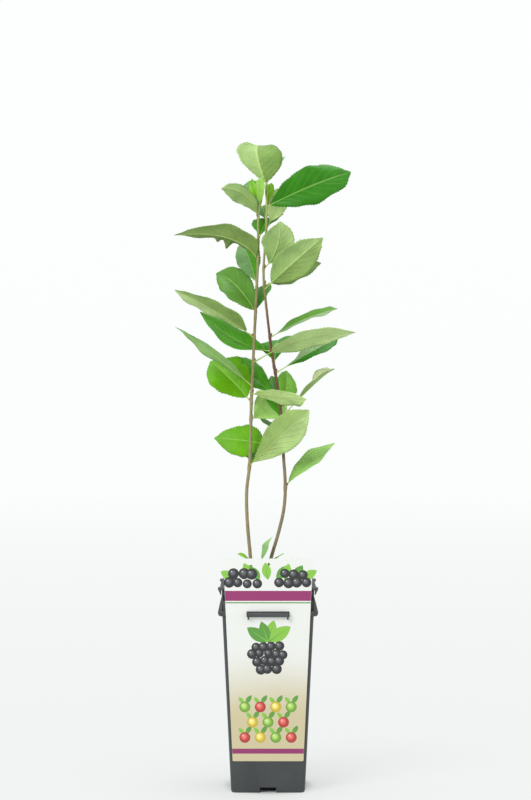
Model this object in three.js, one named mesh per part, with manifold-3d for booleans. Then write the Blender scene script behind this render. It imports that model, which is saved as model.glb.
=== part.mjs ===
// A potted black chokeberry: two slender stems with alternate leaves, in a deep square
// nursery pot with a picture card hooked on its front.
// Millimetres, +Z up, the viewer looks along +Y. The origin is the middle of the pot's underside.
import * as THREE from 'three';
import { mergeVertices } from 'three/addons/utils/BufferGeometryUtils.js';
import Module from 'manifold-3d';

const wasm = await Module();
wasm.setup();

// Pot: a deep square one, moulded in one piece
const POT_HEIGHT = 227;
const POT_FOOT_WIDTH = 81.5;
const POT_NECK_WIDTH = 100.5;
const POT_WIDTH = 110;
const POT_WALL = 1.6;
const POT_FLOOR = 3;
const POT_CORNER = 5;
const CORNER_STEPS = 3;
const POT_CORNERS = [[1, 1], [-1, 1], [-1, -1], [1, -1]];
const FOOT_CHAMFER = 2;
const BAND_BOTTOM = 196;
const BAND_TOP = 201;
const BAND_CHAMFER = 2;
const COLLAR_WIDTH = 100;
const LIP_WIDTH = 106;
const LIP_FLARE = 5;
const LIP_THICK = 1;
const LUG_LENGTH = 14;
const LUG_GAP_BOTTOM = 212;
const LUG_GAP_TOP = 219;
const LUG_SLOPE_WIDTH = 106;
const WINDOW_LENGTH = 8;
const ARCH_WIDTH = 18;
const ARCH_HEIGHT = 6;
const ARCH_DEPTH = 16;
const DRAIN_RADIUS = 4;
const DRAIN_SPREAD = 22;

// Hook on the pot's front that carries the card
const HOOK_WIDTH = 45;
const HOOK_BOTTOM = 196.4;
const HOOK_TOP = 200.8;
const HOOK_REACH = 59.8;
const HOOK_LUG_WIDTH = 2;
const HOOK_LUG_BOTTOM = 193;
const HOOK_LUG_THICK = 1.6;

// Card: a thin tapering sheet that leans on the pot's band and foot
const CARD_TOP = 260;
const CARD_BOTTOM = 35.5;
const CARD_TOP_WIDTH = 98;
const CARD_BOTTOM_WIDTH = 78;
const CARD_THICK = 0.8;
const CARD_HOLE_RADIUS = 2;
const CARD_HOLE_DROP = 6.5;
const CARD_SLOT_WIDTH = 47;
const CARD_SLOT_BOTTOM = 195.6;
const CARD_SLOT_TOP = 201.8;

// Potting soil
const SOIL_TOP = 207;
const CLEAR = 0.3;

// Stems: centre lines as [x, y, z], thickness at the foot and the tip
const STEM_SIDES = 6;
const STEM_STEP = 14;
const FLARE = 0.57;
const FLARE_HEIGHT = 7;
const BARE_TOPS = { left: 348, right: 324 };
const STEMS = {
  left: {
    foot: 2.2,
    tip: 1.4,
    line: [
      [-15, 4, 207], [-20, 6, 258], [-23.6, 8, 300], [-24, 8, 330], [-20.6, 8, 362],
      [-18.8, 8, 430], [-16.6, 7, 480], [-13.4, 6, 545], [-11, 5, 600], [-10.8, 4, 640], [-7, 3, 664],
    ],
  },
  right: {
    foot: 2.2,
    tip: 1.2,
    line: [
      [-8, -5, 207], [3.8, -6, 257], [11.4, -7, 283], [17.6, -8, 310], [19.4, -8, 334],
      [17.4, -7, 370], [14.2, -6, 418], [11.2, -5, 446], [5, -3, 482],
      [-1, -2, 530], [-5, -3, 575], [-2, -4, 626], [-1.6, -4, 678],
    ],
  },
  shoot: {
    foot: 1.6,
    tip: 0.9,
    line: [[-8, -20, 207], [-9, -19, 228], [-7, -18, 250]],
  },
};

// Leaves: at is the height of the node on the stem, tip the leaf's point as [x, y, z], over how far
// the midrib's middle stands off the straight line, lean the degrees that the upper face turns
// from the sky towards the viewer, fold how far each half folds up, twist its turn from end to end
const LEAF_WIDTH = 40;
const LEAF_STALK = 9;
const LEAF_FOLD = 12;
const LEAF_OVER = [0, 0, 7];
const LEAF_THICK = 1.1;
const STALK_FOOT = 1.17;
const STALK_END = 0.72;
const STALK_SIDES = 5;
const STALK_STEPS = 3;
const STALK_SUNK = 0.12;
const BLADE_STEPS = 8;
const BLADE_END = 0.7;
const BLADE_SKEW = 1.22;
const BLADE_ROUND = 0.85;
const WAVE = 1.2;
const WAVE_RATE = 9;

const MASSES = [
  {
    name: 'left_low_leaves',
    stem: 'left',
    to: 428,
    leaves: [
      { at: 359, tip: [45, -53, 422], lean: -69, over: [0, -4, 0], width: 38, stalk: 6, fold: 9 },
      { at: 411, tip: [17, 52, 437], lean: 45, over: [0, 0, -2], width: 38, stalk: 5 },
    ],
  },
  {
    name: 'left_middle_leaves',
    stem: 'left',
    to: 524,
    leaves: [
      { at: 440, tip: [42, -56, 434], lean: -28, over: [-2, -7, 0], width: 39, stalk: 4, fold: -3, skew: 1.3 },
      { at: 430, tip: [-66, 32, 477], lean: 45, over: [-1, -1, 4], width: 52, stalk: 7, fold: 12, skew: 0.95 },
      {
        at: 449, tip: [-103, -24, 514], lean: -5, over: [-5.4, -1, 6.2],
        width: 36, fold: 4, skew: 0.8,
      },
      { at: 475, tip: [97, -31, 508], lean: -26, over: [-2, -15, 8], width: 36, stalk: 26, fold: -4, skew: 0.81 },
      {
        at: 503, tip: [-104, -16, 556], lean: -18, over: [2, -4, 2],
        width: 37, stalk: 13, fold: 2, skew: 1.1,
      },
    ],
  },
  {
    name: 'left_upper_leaves',
    stem: 'left',
    to: 606,
    leaves: [
      { at: 532, tip: [-60, 56, 579], lean: 52, over: [0, 4, 9], width: 39, stalk: 3, fold: 28, skew: 0.81 },
      { at: 560, tip: [-31, 58, 616], lean: 40, over: [2, 0, 2], width: 30 },
      { at: 591, tip: [-105, -15, 617], lean: -18, over: [13, 2, 11], width: 40, stalk: 8, fold: 21, skew: 0.77 },
    ],
  },
  {
    name: 'left_top_leaves',
    stem: 'left',
    to: 664,
    leaves: [
      { at: 638, tip: [-52, -24, 668], lean: -60, width: 26, stalk: 4, over: [6, 0, 9] },
      { at: 647, tip: [-22, 38, 684], lean: 30, width: 24, stalk: 4, over: [0, 2, 3] },
      { at: 652, tip: [-7, -20, 681], lean: -50, width: 15, stalk: 2, over: [-2, 0, 0] },
      { at: 658, tip: [-18, 16, 684], lean: 50, width: 11, stalk: 2, over: [-2, 4, 0] },
    ],
  },
  {
    name: 'right_low_leaves',
    stem: 'right',
    to: 398,
    leaves: [
      { at: 335, tip: [76, 21, 384], lean: 15, over: [-6, -2, 0], width: 27, stalk: 8 },
      { at: 379, tip: [-62, 49, 389], lean: 67, over: [0, 6, 2], width: 37, stalk: 28, fold: 1, skew: 0.75 },
    ],
  },
  {
    name: 'right_middle_leaves',
    stem: 'right',
    to: 532,
    leaves: [
      { at: 408, tip: [4, 62, 461], lean: 25, over: [0, 0, 2], width: 26 },
      { at: 419, tip: [21, 50, 467], lean: 30, over: [3, 0, 0], width: 25 },
      {
        at: 413, tip: [74, 15, 467], lean: -10, over: [9, 0, 12],
        width: 27, stalk: 13, fold: 27, skew: 1.4, twist: 77,
      },
      { at: 434, tip: [-46, 68, 481], lean: 38, over: [0, 6, 1], width: 33, stalk: 14 },
      { at: 463, tip: [80, 26, 504], lean: 28, over: [0, -6, 1], width: 28, stalk: 13, fold: -7, skew: 1.31 },
      { at: 488, tip: [-78, 35, 534], lean: 31, over: [1, 16, -10], width: 36, stalk: 9, fold: 14, skew: 1.02 },
      { at: 503, tip: [78, -8, 535], lean: 22, over: [2, 2, 5], width: 32, stalk: 7, skew: 1.1 },
    ],
  },
  {
    name: 'right_upper_leaves',
    stem: 'right',
    to: 639,
    leaves: [
      { at: 562, tip: [61, 39, 590], lean: -42, over: [1, 1, -2], width: 30, fold: 8 },
      { at: 557, tip: [60, -50, 611], lean: -46, over: [-4, 2, -2], width: 40, stalk: 15, fold: 2, skew: 1 },
      { at: 580, tip: [14, -20, 632], lean: -39, over: [5, 2, -4], width: 38, fold: 10 },
      { at: 624, tip: [16, 18, 674], lean: -120, over: [2, 0, 2], width: 26 },
    ],
  },
  {
    name: 'right_top_leaves',
    stem: 'right',
    to: 678,
    leaves: [
      { at: 650, tip: [93, 1, 690], lean: 82, over: [1, -7, 2], width: 43, stalk: 4, skew: 1.05 },
      { at: 650, tip: [4, 14, 679], lean: 20, over: [0, 0, 2], width: 10, stalk: 3 },
      {
        at: 674, tip: [-9, 46, 726], lean: 179, over: [-7, -10, 10],
        width: 54, stalk: 3, fold: -16, skew: 0.75, twist: -20,
      },
      { at: 672, tip: [20, 40, 712], lean: 40, over: [-5, 5, 4], width: 10, stalk: 3 },
    ],
  },
  {
    name: 'basal_shoot',
    stem: 'shoot',
    to: 250,
    leaves: [
      { at: 246, tip: [5, -20, 281], lean: 35, width: 11, stalk: 3, over: [-3, 0, 0] },
      { at: 238, tip: [-34, -26, 262], lean: 15, width: 14, stalk: 3, over: [0, 0, 4] },
      { at: 236, tip: [18, -32, 263], lean: 10, width: 12, stalk: 3, over: [0, 0, 4] },
      { at: 226, tip: [-37, 4, 249], lean: 0, width: 14, stalk: 3, over: [0, 0, 4] },
    ],
  },
];

// Far-side leaves: nodes on the stems whose leaves point away from the viewer
const FAR_NODES = { left: [356, 526, 612], right: [386, 632, 470, 530] };
const FAR_TURN = [72, 108];
const FAR_REACH = [66, 82];
const FAR_RISE = [12, 34];
const FAR_LEAN = [-25, 25];
const FAR_WIDTH = [32, 40];
const FAR_ROOM = 5.5;
const FAR_START = 18;
const STEM_SPACING = 6;
const SEED = 2026;

const DEG = Math.PI / 180;
const UP = new THREE.Vector3(0, 0, 1);

let seedState = SEED;

function randomBetween(low, high) {
  seedState = (seedState * 1664525 + 1013904223) % 4294967296;
  return low + (high - low) * seedState / 4294967296;
}

function vec(list) {
  return new THREE.Vector3(list[0], list[1], list[2]);
}

// A closed surface through rings of equal count, each counter-clockwise about the way it is swept
function loft(rings, hub = 0) {
  const count = rings[0].length;
  const positions = rings.flat().flatMap((p) => [p.x, p.y, p.z]);
  const triangles = [];
  for (let i = 0; i + 1 < rings.length; i += 1) {
    for (let j = 0; j < count; j += 1) {
      const next = (j + 1) % count;
      const a = i * count + j;
      const b = i * count + next;
      const c = (i + 1) * count + next;
      const d = (i + 1) * count + j;
      triangles.push(a, b, c, a, c, d);
    }
  }
  const last = (rings.length - 1) * count;
  for (let j = 1; j + 1 < count; j += 1) {
    const p = (hub + j) % count;
    const q = (hub + j + 1) % count;
    triangles.push(hub, q, p, last + hub, last + p, last + q);
  }
  const geometry = new THREE.BufferGeometry();
  geometry.setAttribute('position', new THREE.Float32BufferAttribute(positions, 3));
  geometry.setIndex(triangles);
  return geometry;
}

function toSolid(geometry) {
  const bare = geometry.clone();
  bare.deleteAttribute('normal');
  bare.deleteAttribute('uv');
  const merged = mergeVertices(bare, 1e-4);
  return new wasm.Manifold(new wasm.Mesh({
    numProp: 3,
    vertProperties: new Float32Array(merged.attributes.position.array),
    triVerts: new Uint32Array(merged.index.array),
  }));
}

function toGeometry(solid) {
  const mesh = solid.getMesh();
  const geometry = new THREE.BufferGeometry();
  geometry.setAttribute('position', new THREE.BufferAttribute(mesh.vertProperties, 3));
  geometry.setIndex(new THREE.BufferAttribute(mesh.triVerts, 1));
  geometry.computeVertexNormals();
  return geometry;
}

function box(low, high) {
  const size = vec(high).sub(vec(low));
  const middle = vec(high).add(vec(low)).multiplyScalar(0.5);
  const geometry = new THREE.BoxGeometry(size.x, size.y, size.z);
  geometry.translate(middle.x, middle.y, middle.z);
  return toSolid(geometry);
}

function squareRing(width, z, corner) {
  const points = [];
  const inset = width / 2 - corner;
  for (let side = 0; side < 4; side += 1) {
    for (let step = 0; step <= CORNER_STEPS; step += 1) {
      const angle = (side + step / CORNER_STEPS) * 90 * DEG;
      const middle = (side * 90 + 45) * DEG;
      const x = inset * Math.SQRT2 * Math.cos(middle) + corner * Math.cos(angle);
      const y = inset * Math.SQRT2 * Math.sin(middle) + corner * Math.sin(angle);
      points.push(new THREE.Vector3(x, y, z));
    }
  }
  return points;
}

// The pot's outer width on its plain body at a height
function bodyWidth(z) {
  return POT_FOOT_WIDTH + (POT_NECK_WIDTH - POT_FOOT_WIDTH) * z / BAND_BOTTOM;
}

function cavityRings(clear, top) {
  const floor = POT_FLOOR + clear;
  const inside = (width) => width - 2 * POT_WALL - 2 * clear;
  const rings = [squareRing(inside(bodyWidth(floor)), floor, POT_CORNER - POT_WALL)];
  rings.push(squareRing(inside(bodyWidth(BAND_BOTTOM - 4)), BAND_BOTTOM - 4, POT_CORNER - POT_WALL));
  rings.push(squareRing(inside(COLLAR_WIDTH), top, POT_CORNER - POT_WALL));
  return rings;
}

function makePot() {
  const half = POT_WIDTH / 2;
  const outer = toSolid(loft([
    squareRing(POT_FOOT_WIDTH - FOOT_CHAMFER, 0, POT_CORNER),
    squareRing(bodyWidth(FOOT_CHAMFER), FOOT_CHAMFER, POT_CORNER),
    squareRing(POT_NECK_WIDTH, BAND_BOTTOM - BAND_CHAMFER / 2, POT_CORNER),
    squareRing(POT_WIDTH - BAND_CHAMFER, BAND_BOTTOM, POT_CORNER),
    squareRing(POT_WIDTH, BAND_BOTTOM + BAND_CHAMFER, POT_CORNER),
    squareRing(POT_WIDTH, BAND_TOP, POT_CORNER),
    squareRing(COLLAR_WIDTH, BAND_TOP + CLEAR, POT_CORNER),
    squareRing(COLLAR_WIDTH, POT_HEIGHT - LIP_FLARE, POT_CORNER),
    squareRing(LIP_WIDTH, POT_HEIGHT - LIP_THICK, POT_CORNER),
    squareRing(LIP_WIDTH, POT_HEIGHT, POT_CORNER),
  ]));
  const lugs = toSolid(loft([
    squareRing(POT_WIDTH, BAND_TOP - 1, POT_CORNER),
    squareRing(LUG_SLOPE_WIDTH, LUG_GAP_BOTTOM, POT_CORNER),
  ])).add(toSolid(loft([
    squareRing(LUG_SLOPE_WIDTH, LUG_GAP_TOP, POT_CORNER),
    squareRing(POT_WIDTH, POT_HEIGHT - 2 * LIP_THICK, POT_CORNER),
    squareRing(POT_WIDTH, POT_HEIGHT, POT_CORNER),
  ])));
  let pot = outer;
  for (const [sx, sy] of POT_CORNERS) {
    const near = half - LUG_LENGTH;
    const far = half + 1;
    const low = [Math.min(sx * near, sx * far), Math.min(sy * near, sy * far), BAND_TOP - 1];
    const high = [Math.max(sx * near, sx * far), Math.max(sy * near, sy * far), POT_HEIGHT];
    pot = pot.add(lugs.intersect(box(low, high)));
  }
  const hookHalf = HOOK_WIDTH / 2;
  pot = pot.add(box([-hookHalf, -HOOK_REACH, HOOK_BOTTOM], [hookHalf, -half + POT_WALL, HOOK_TOP]));
  for (const side of [-1, 1]) {
    const edge = side * hookHalf;
    const inner = edge - side * HOOK_LUG_WIDTH;
    const low = [Math.min(edge, inner), -HOOK_REACH, HOOK_LUG_BOTTOM];
    const high = [Math.max(edge, inner), -HOOK_REACH + HOOK_LUG_THICK, HOOK_BOTTOM + 1];
    pot = pot.add(box(low, high));
  }
  pot = pot.subtract(toSolid(loft(cavityRings(0, POT_HEIGHT + 1))));
  for (const [sx, sy] of POT_CORNERS) {
    const near = COLLAR_WIDTH / 2 - WINDOW_LENGTH;
    const far = half + 1;
    const low = [Math.min(sx * near, sx * far), Math.min(sy * near, sy * far), LUG_GAP_BOTTOM];
    const high = [Math.max(sx * near, sx * far), Math.max(sy * near, sy * far), LUG_GAP_TOP];
    pot = pot.subtract(box(low, high));
    const drain = new THREE.CylinderGeometry(DRAIN_RADIUS, DRAIN_RADIUS, POT_FLOOR * 4, 12);
    drain.rotateX(90 * DEG);
    drain.translate(sx * DRAIN_SPREAD, sy * DRAIN_SPREAD, 0);
    pot = pot.subtract(toSolid(drain));
  }
  const foot = POT_FOOT_WIDTH / 2;
  const arch = ARCH_WIDTH / 2;
  for (const side of [-1, 1]) {
    const a = side * (foot + 2);
    const b = side * (foot - ARCH_DEPTH);
    pot = pot.subtract(box([-arch, Math.min(a, b), -1], [arch, Math.max(a, b), ARCH_HEIGHT]));
    pot = pot.subtract(box([Math.min(a, b), -arch, -1], [Math.max(a, b), arch, ARCH_HEIGHT]));
  }
  return toGeometry(pot);
}

function makeSoil() {
  return loft(cavityRings(CLEAR, SOIL_TOP));
}

// The card stands on its own bottom edge in the shape's plane, and the mesh then leans it on the pot
const BAND_HALF = POT_WIDTH / 2;
const FOOT_HALF = bodyWidth(CARD_BOTTOM) / 2;
const CARD_LEAN = Math.atan2(BAND_HALF - FOOT_HALF, BAND_TOP - CARD_BOTTOM);

function makeCard() {
  const alongCard = (z) => (z - CARD_BOTTOM) / Math.cos(CARD_LEAN);
  const height = alongCard(CARD_TOP);
  const outline = new THREE.Shape();
  outline.moveTo(-CARD_BOTTOM_WIDTH / 2, 0);
  outline.lineTo(CARD_BOTTOM_WIDTH / 2, 0);
  outline.lineTo(CARD_TOP_WIDTH / 2, height);
  outline.lineTo(-CARD_TOP_WIDTH / 2, height);
  outline.closePath();
  const hole = new THREE.Path();
  hole.absarc(0, height - CARD_HOLE_DROP, CARD_HOLE_RADIUS, 0, 2 * Math.PI, true);
  const slot = new THREE.Path();
  const slotHalf = CARD_SLOT_WIDTH / 2;
  slot.moveTo(-slotHalf, alongCard(CARD_SLOT_BOTTOM));
  slot.lineTo(-slotHalf, alongCard(CARD_SLOT_TOP));
  slot.lineTo(slotHalf, alongCard(CARD_SLOT_TOP));
  slot.lineTo(slotHalf, alongCard(CARD_SLOT_BOTTOM));
  slot.closePath();
  outline.holes.push(hole, slot);
  return new THREE.ExtrudeGeometry(outline, { depth: CARD_THICK, bevelEnabled: false, curveSegments: 6 });
}

// A stem's centre line, its thickness and its direction, found by height
function stemCurve(name) {
  const stem = STEMS[name];
  const curve = new THREE.CatmullRomCurve3(stem.line.map(vec));
  const bottom = stem.line[0][2];
  const top = stem.line[stem.line.length - 1][2];
  const at = (z) => {
    let low = 0;
    let high = 1;
    for (let i = 0; i < 40; i += 1) {
      const middle = (low + high) / 2;
      if (curve.getPoint(middle).z < z) low = middle;
      else high = middle;
    }
    return curve.getPoint(low);
  };
  const along = (z) => at(Math.min(z + 2, top)).sub(at(Math.max(z - 2, bottom))).normalize();
  const radius = (z) => {
    const taper = stem.foot + (stem.tip - stem.foot) * (z - bottom) / (top - bottom);
    return taper + FLARE * stem.foot * Math.exp((bottom - z) / FLARE_HEIGHT);
  };
  return { at, along, radius, bottom, top };
}

function ringAround(point, direction, radius, sides) {
  const side = new THREE.Vector3(1, 0, 0).addScaledVector(direction, -direction.x).normalize();
  const other = new THREE.Vector3().crossVectors(direction, side);
  const points = [];
  for (let i = 0; i < sides; i += 1) {
    const angle = 2 * Math.PI * i / sides;
    const p = point.clone();
    p.addScaledVector(side, radius * Math.cos(angle));
    p.addScaledVector(other, radius * Math.sin(angle));
    points.push(p);
  }
  return points;
}

// A length of stem; the lowest is cut flat on the soil, the others square to the stem
function stemLength(stem, from, to) {
  const steps = Math.max(2, Math.round((to - from) / STEM_STEP));
  const rings = [];
  for (let i = 0; i <= steps; i += 1) {
    const z = from + (to - from) * i / steps;
    rings.push(ringAround(stem.at(z), stem.along(z), stem.radius(z), STEM_SIDES));
  }
  if (from === stem.bottom + CLEAR) {
    for (const p of rings[0]) p.z = from;
  }
  return loft(rings);
}

// The leaf's midrib from its node to its tip, and the way its blade faces at each point
function leafFrame(stem, leaf) {
  const node = stem.at(leaf.at);
  const tip = vec(leaf.tip);
  const over = vec(leaf.over ?? LEAF_OVER);
  const bend = node.clone().add(tip).multiplyScalar(0.5).addScaledVector(over, 2);
  const curve = new THREE.QuadraticBezierCurve3(node, bend, tip);
  const chord = tip.clone().sub(node).normalize();
  const sky = UP.clone().addScaledVector(chord, -chord.z).normalize();
  const viewer = new THREE.Vector3().crossVectors(chord, UP).normalize();
  if (viewer.y > 0) viewer.negate();
  const lean = leaf.lean * DEG;
  const face = sky.multiplyScalar(Math.cos(lean)).addScaledVector(viewer, Math.sin(lean));
  const reach = curve.getLength();
  const start = (leaf.stalk ?? LEAF_STALK) / reach;
  const frame = (u) => {
    const s = start + (1 - start) * u;
    const point = curve.getPoint(s);
    const ahead = curve.getTangent(s);
    const across = new THREE.Vector3().crossVectors(face, ahead).normalize();
    across.applyAxisAngle(ahead, (leaf.twist ?? 0) * (u - 0.5) * DEG);
    const normal = new THREE.Vector3().crossVectors(ahead, across);
    return { point, across, normal };
  };
  return { curve, start, frame };
}

// Half the blade's width from its foot (0) to its tip (1): widest past the middle, then a short point
function halfWidth(u, leaf) {
  const shape = Math.max(0, Math.sin(Math.PI * u ** (leaf.skew ?? BLADE_SKEW))) ** BLADE_ROUND;
  return Math.max(BLADE_END, shape * (leaf.width ?? LEAF_WIDTH) / 2);
}

function makeBlade(frame, leaf) {
  const width = leaf.width ?? LEAF_WIDTH;
  const fold = (leaf.fold ?? LEAF_FOLD) * DEG;
  const phase = randomBetween(0, 2 * Math.PI);
  const rings = [];
  for (let i = 0; i <= BLADE_STEPS; i += 1) {
    const u = 0.5 - 0.5 * Math.cos(Math.PI * i / BLADE_STEPS);
    const { point, across, normal } = frame(u);
    const half = halfWidth(u, leaf);
    const place = (side, lift) => {
      const wave = WAVE * Math.sin(phase + side + WAVE_RATE * u) * half / (width / 2);
      const p = point.clone();
      p.addScaledVector(across, side * half * Math.cos(fold));
      p.addScaledVector(normal, Math.abs(side) * (half * Math.sin(fold) + wave) + lift);
      return p;
    };
    const lift = LEAF_THICK / 2;
    const upper = [place(1, lift), place(0, lift), place(-1, lift)];
    const under = [place(-1, -lift), place(0, -lift), place(1, -lift)];
    rings.push([...upper, ...under]);
  }
  return toSolid(loft(rings, 1));
}

function makeStalk(curve, start) {
  const rings = [];
  for (let i = 0; i <= STALK_STEPS; i += 1) {
    const s = (start + STALK_SUNK) * i / STALK_STEPS;
    const radius = STALK_FOOT + (STALK_END - STALK_FOOT) * i / STALK_STEPS;
    rings.push(ringAround(curve.getPoint(s), curve.getTangent(s), radius, STALK_SIDES));
  }
  return toSolid(loft(rings));
}

// Points on a leaf, to keep the far-side leaves clear of what is already there
function leafPoints(frame, leaf) {
  const points = [];
  for (let i = 0; i <= 8; i += 1) {
    const u = i / 8;
    const { point, across } = frame(u);
    const half = halfWidth(u, leaf);
    for (const side of [-1, -0.5, 0, 0.5, 1]) {
      points.push(point.clone().addScaledVector(across, side * half));
    }
  }
  return points;
}

const stems = Object.fromEntries(Object.keys(STEMS).map((name) => [name, stemCurve(name)]));

function farLeaves() {
  const taken = [];
  for (const mass of MASSES) {
    for (const leaf of mass.leaves) {
      const { frame } = leafFrame(stems[mass.stem], leaf);
      taken.push(...leafPoints(frame, leaf));
    }
  }
  for (const name of ['left', 'right']) {
    const stem = stems[name];
    for (let z = stem.bottom; z < stem.top; z += STEM_SPACING) taken.push(stem.at(z));
  }
  for (const name of ['left', 'right']) {
    const stem = stems[name];
    for (const z of FAR_NODES[name]) {
      const turn = randomBetween(FAR_TURN[0], FAR_TURN[1]);
      const reach = randomBetween(FAR_REACH[0], FAR_REACH[1]);
      const rise = randomBetween(FAR_RISE[0], FAR_RISE[1]) * DEG;
      const lean = randomBetween(FAR_LEAN[0], FAR_LEAN[1]);
      const width = randomBetween(FAR_WIDTH[0], FAR_WIDTH[1]);
      const node = stem.at(z);
      const x = node.x + reach * Math.cos(rise) * Math.cos(turn * DEG);
      const y = node.y + reach * Math.cos(rise) * Math.sin(turn * DEG);
      const leaf = { at: z, tip: [x, y, z + reach * Math.sin(rise)], lean, width };
      const points = leafPoints(leafFrame(stem, leaf).frame, leaf);
      const outer = points.filter((p) => p.distanceTo(node) > FAR_START);
      if (outer.some((p) => taken.some((q) => q.distanceTo(p) < FAR_ROOM))) continue;
      taken.push(...points);
      MASSES.find((mass) => mass.stem === name && z < mass.to).leaves.push(leaf);
    }
  }
}

function makeMass(mass, from) {
  const stem = stems[mass.stem];
  let solid = toSolid(stemLength(stem, from, mass.to));
  for (const leaf of mass.leaves) {
    const { curve, start, frame } = leafFrame(stem, leaf);
    solid = solid.add(makeStalk(curve, start)).add(makeBlade(frame, leaf));
  }
  return toGeometry(solid);
}

const plastic = new THREE.MeshStandardMaterial({ color: '#4b4e4d', roughness: 0.55, metalness: 0 });
const printed = new THREE.MeshStandardMaterial({ color: '#e4e5df', roughness: 0.4, metalness: 0 });
const peat = new THREE.MeshStandardMaterial({ color: '#3a2c22', roughness: 0.95, metalness: 0 });
const bark = new THREE.MeshStandardMaterial({ color: '#7d6a50', roughness: 0.8, metalness: 0 });
const leafGreen = new THREE.MeshStandardMaterial({ color: '#5a9a2c', roughness: 0.45, metalness: 0 });

const plant = new THREE.Group();

function addPart(name, geometry, material) {
  const mesh = new THREE.Mesh(geometry, material);
  mesh.name = name;
  plant.add(mesh);
  return mesh;
}

addPart('pot', makePot(), plastic);
addPart('soil', makeSoil(), peat);
const card = addPart('card', makeCard(), printed);
card.rotation.x = 90 * DEG + CARD_LEAN;
card.position.set(0, -FOOT_HALF - CLEAR, CARD_BOTTOM);

farLeaves();
const reached = {};
for (const [name, stem] of Object.entries(stems)) reached[name] = stem.bottom + CLEAR;
for (const [name, top] of Object.entries(BARE_TOPS)) {
  addPart(`stem_${name}`, stemLength(stems[name], reached[name], top), bark);
  reached[name] = top + CLEAR;
}
for (const mass of MASSES) {
  addPart(mass.name, makeMass(mass, reached[mass.stem]), leafGreen);
  reached[mass.stem] = mass.to + CLEAR;
}

export default plant;
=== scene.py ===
# A potted young chokeberry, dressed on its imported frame: pot, soil, card, stems, leaves and shoot.
import math
import random

import bpy
from mathutils import Matrix, Vector, noise


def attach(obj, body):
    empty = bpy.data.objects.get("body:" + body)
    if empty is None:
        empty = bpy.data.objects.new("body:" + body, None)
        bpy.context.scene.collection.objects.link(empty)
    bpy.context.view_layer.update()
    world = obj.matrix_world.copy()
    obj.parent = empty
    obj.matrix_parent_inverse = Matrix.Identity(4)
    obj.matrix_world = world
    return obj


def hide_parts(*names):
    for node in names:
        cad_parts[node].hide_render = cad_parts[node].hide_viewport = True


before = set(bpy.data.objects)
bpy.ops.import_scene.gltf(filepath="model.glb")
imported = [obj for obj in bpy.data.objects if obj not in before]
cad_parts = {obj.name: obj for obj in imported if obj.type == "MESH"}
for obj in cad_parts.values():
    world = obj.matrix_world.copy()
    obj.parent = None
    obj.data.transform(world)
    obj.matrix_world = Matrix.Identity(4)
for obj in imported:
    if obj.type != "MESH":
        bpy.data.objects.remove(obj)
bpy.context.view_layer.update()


# Studio: a seamless white sweep under a soft white sky, a broad light from the front left with a
# small one beside it, a weaker one from the right and one overhead. The sweep is plain matt paper
# round the pot, where the shadow falls, and glows white further off. The camera looks along +Y.
MM = 0.001
WHITE = "#ffffff"
FLOOR_SIZE = 24000
FLOOR_PAPER = "#d2d4d3"
SWEEP_NEAR = "#f1f4f2"
SWEEP_FAR = "#fbfefc"
SWEEP_LEAST = 0.6
SWEEP_STARTS = (38 * MM, 55 * MM)
SWEEP_GROWS = (80 * MM, 380 * MM)
SWEEP_PALES = (300 * MM, 6000 * MM)
SKY_SEEN_TOP = "#fdffff"
SKY_RISES = (-0.02, 0.16)
SKY_LIGHT = 0.62
CAMERA_PLACE = (-2.8, -2000, 433)
CAMERA_LENS = 80
CAMERA_SENSOR = 36
LIGHT_AIM = Vector((0, 0, 400 * MM))
LIGHTS = {
    "key_left": ((-1250, -1500, 1450), 1100, 34, WHITE),
    "front": ((-350, -2000, 1050), 700, 4, WHITE),
    "fill_right": ((1700, -900, 700), 1600, 8, "#fbfdff"),
    "overhead": ((200, 300, 2200), 1300, 22, WHITE),
}


def linear(hex_colour):
    """An sRGB hex colour as linear red, green, blue and alpha."""
    parts = [int(hex_colour[i:i + 2], 16) / 255 for i in (1, 3, 5)]
    return tuple(c / 12.92 if c <= 0.04045 else ((c + 0.055) / 1.055) ** 2.4 for c in parts) + (1.0,)


def feed(node, inputs):
    """Fills a node's inputs, by name or in their order: a node is linked by its first live output,
    a socket as it is, a hex colour is turned linear, and anything else is the input's value."""
    for key, given in inputs.items() if isinstance(inputs, dict) else enumerate(inputs):
        if isinstance(given, bpy.types.Node):
            given = next(output for output in given.outputs if output.enabled)
        if isinstance(given, bpy.types.NodeSocket):
            node.id_data.links.new(given, node.inputs[key])
        else:
            node.inputs[key].default_value = linear(given) if isinstance(given, str) else given


def add_node(tree, kind, inputs=(), **settings):
    """Adds a shader node; its settings go first, because they say which sockets are live."""
    node = tree.nodes.new("ShaderNode" + kind)
    for key, value in settings.items():
        setattr(node, key, value)
    feed(node, inputs)
    return node


def new_material(name, base, roughness):
    material = bpy.data.materials.new(name)
    material.use_nodes = True
    shader = material.node_tree.nodes["Principled BSDF"]
    feed(shader, {"Base Color": base, "Roughness": roughness})
    return material, material.node_tree, shader


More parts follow.
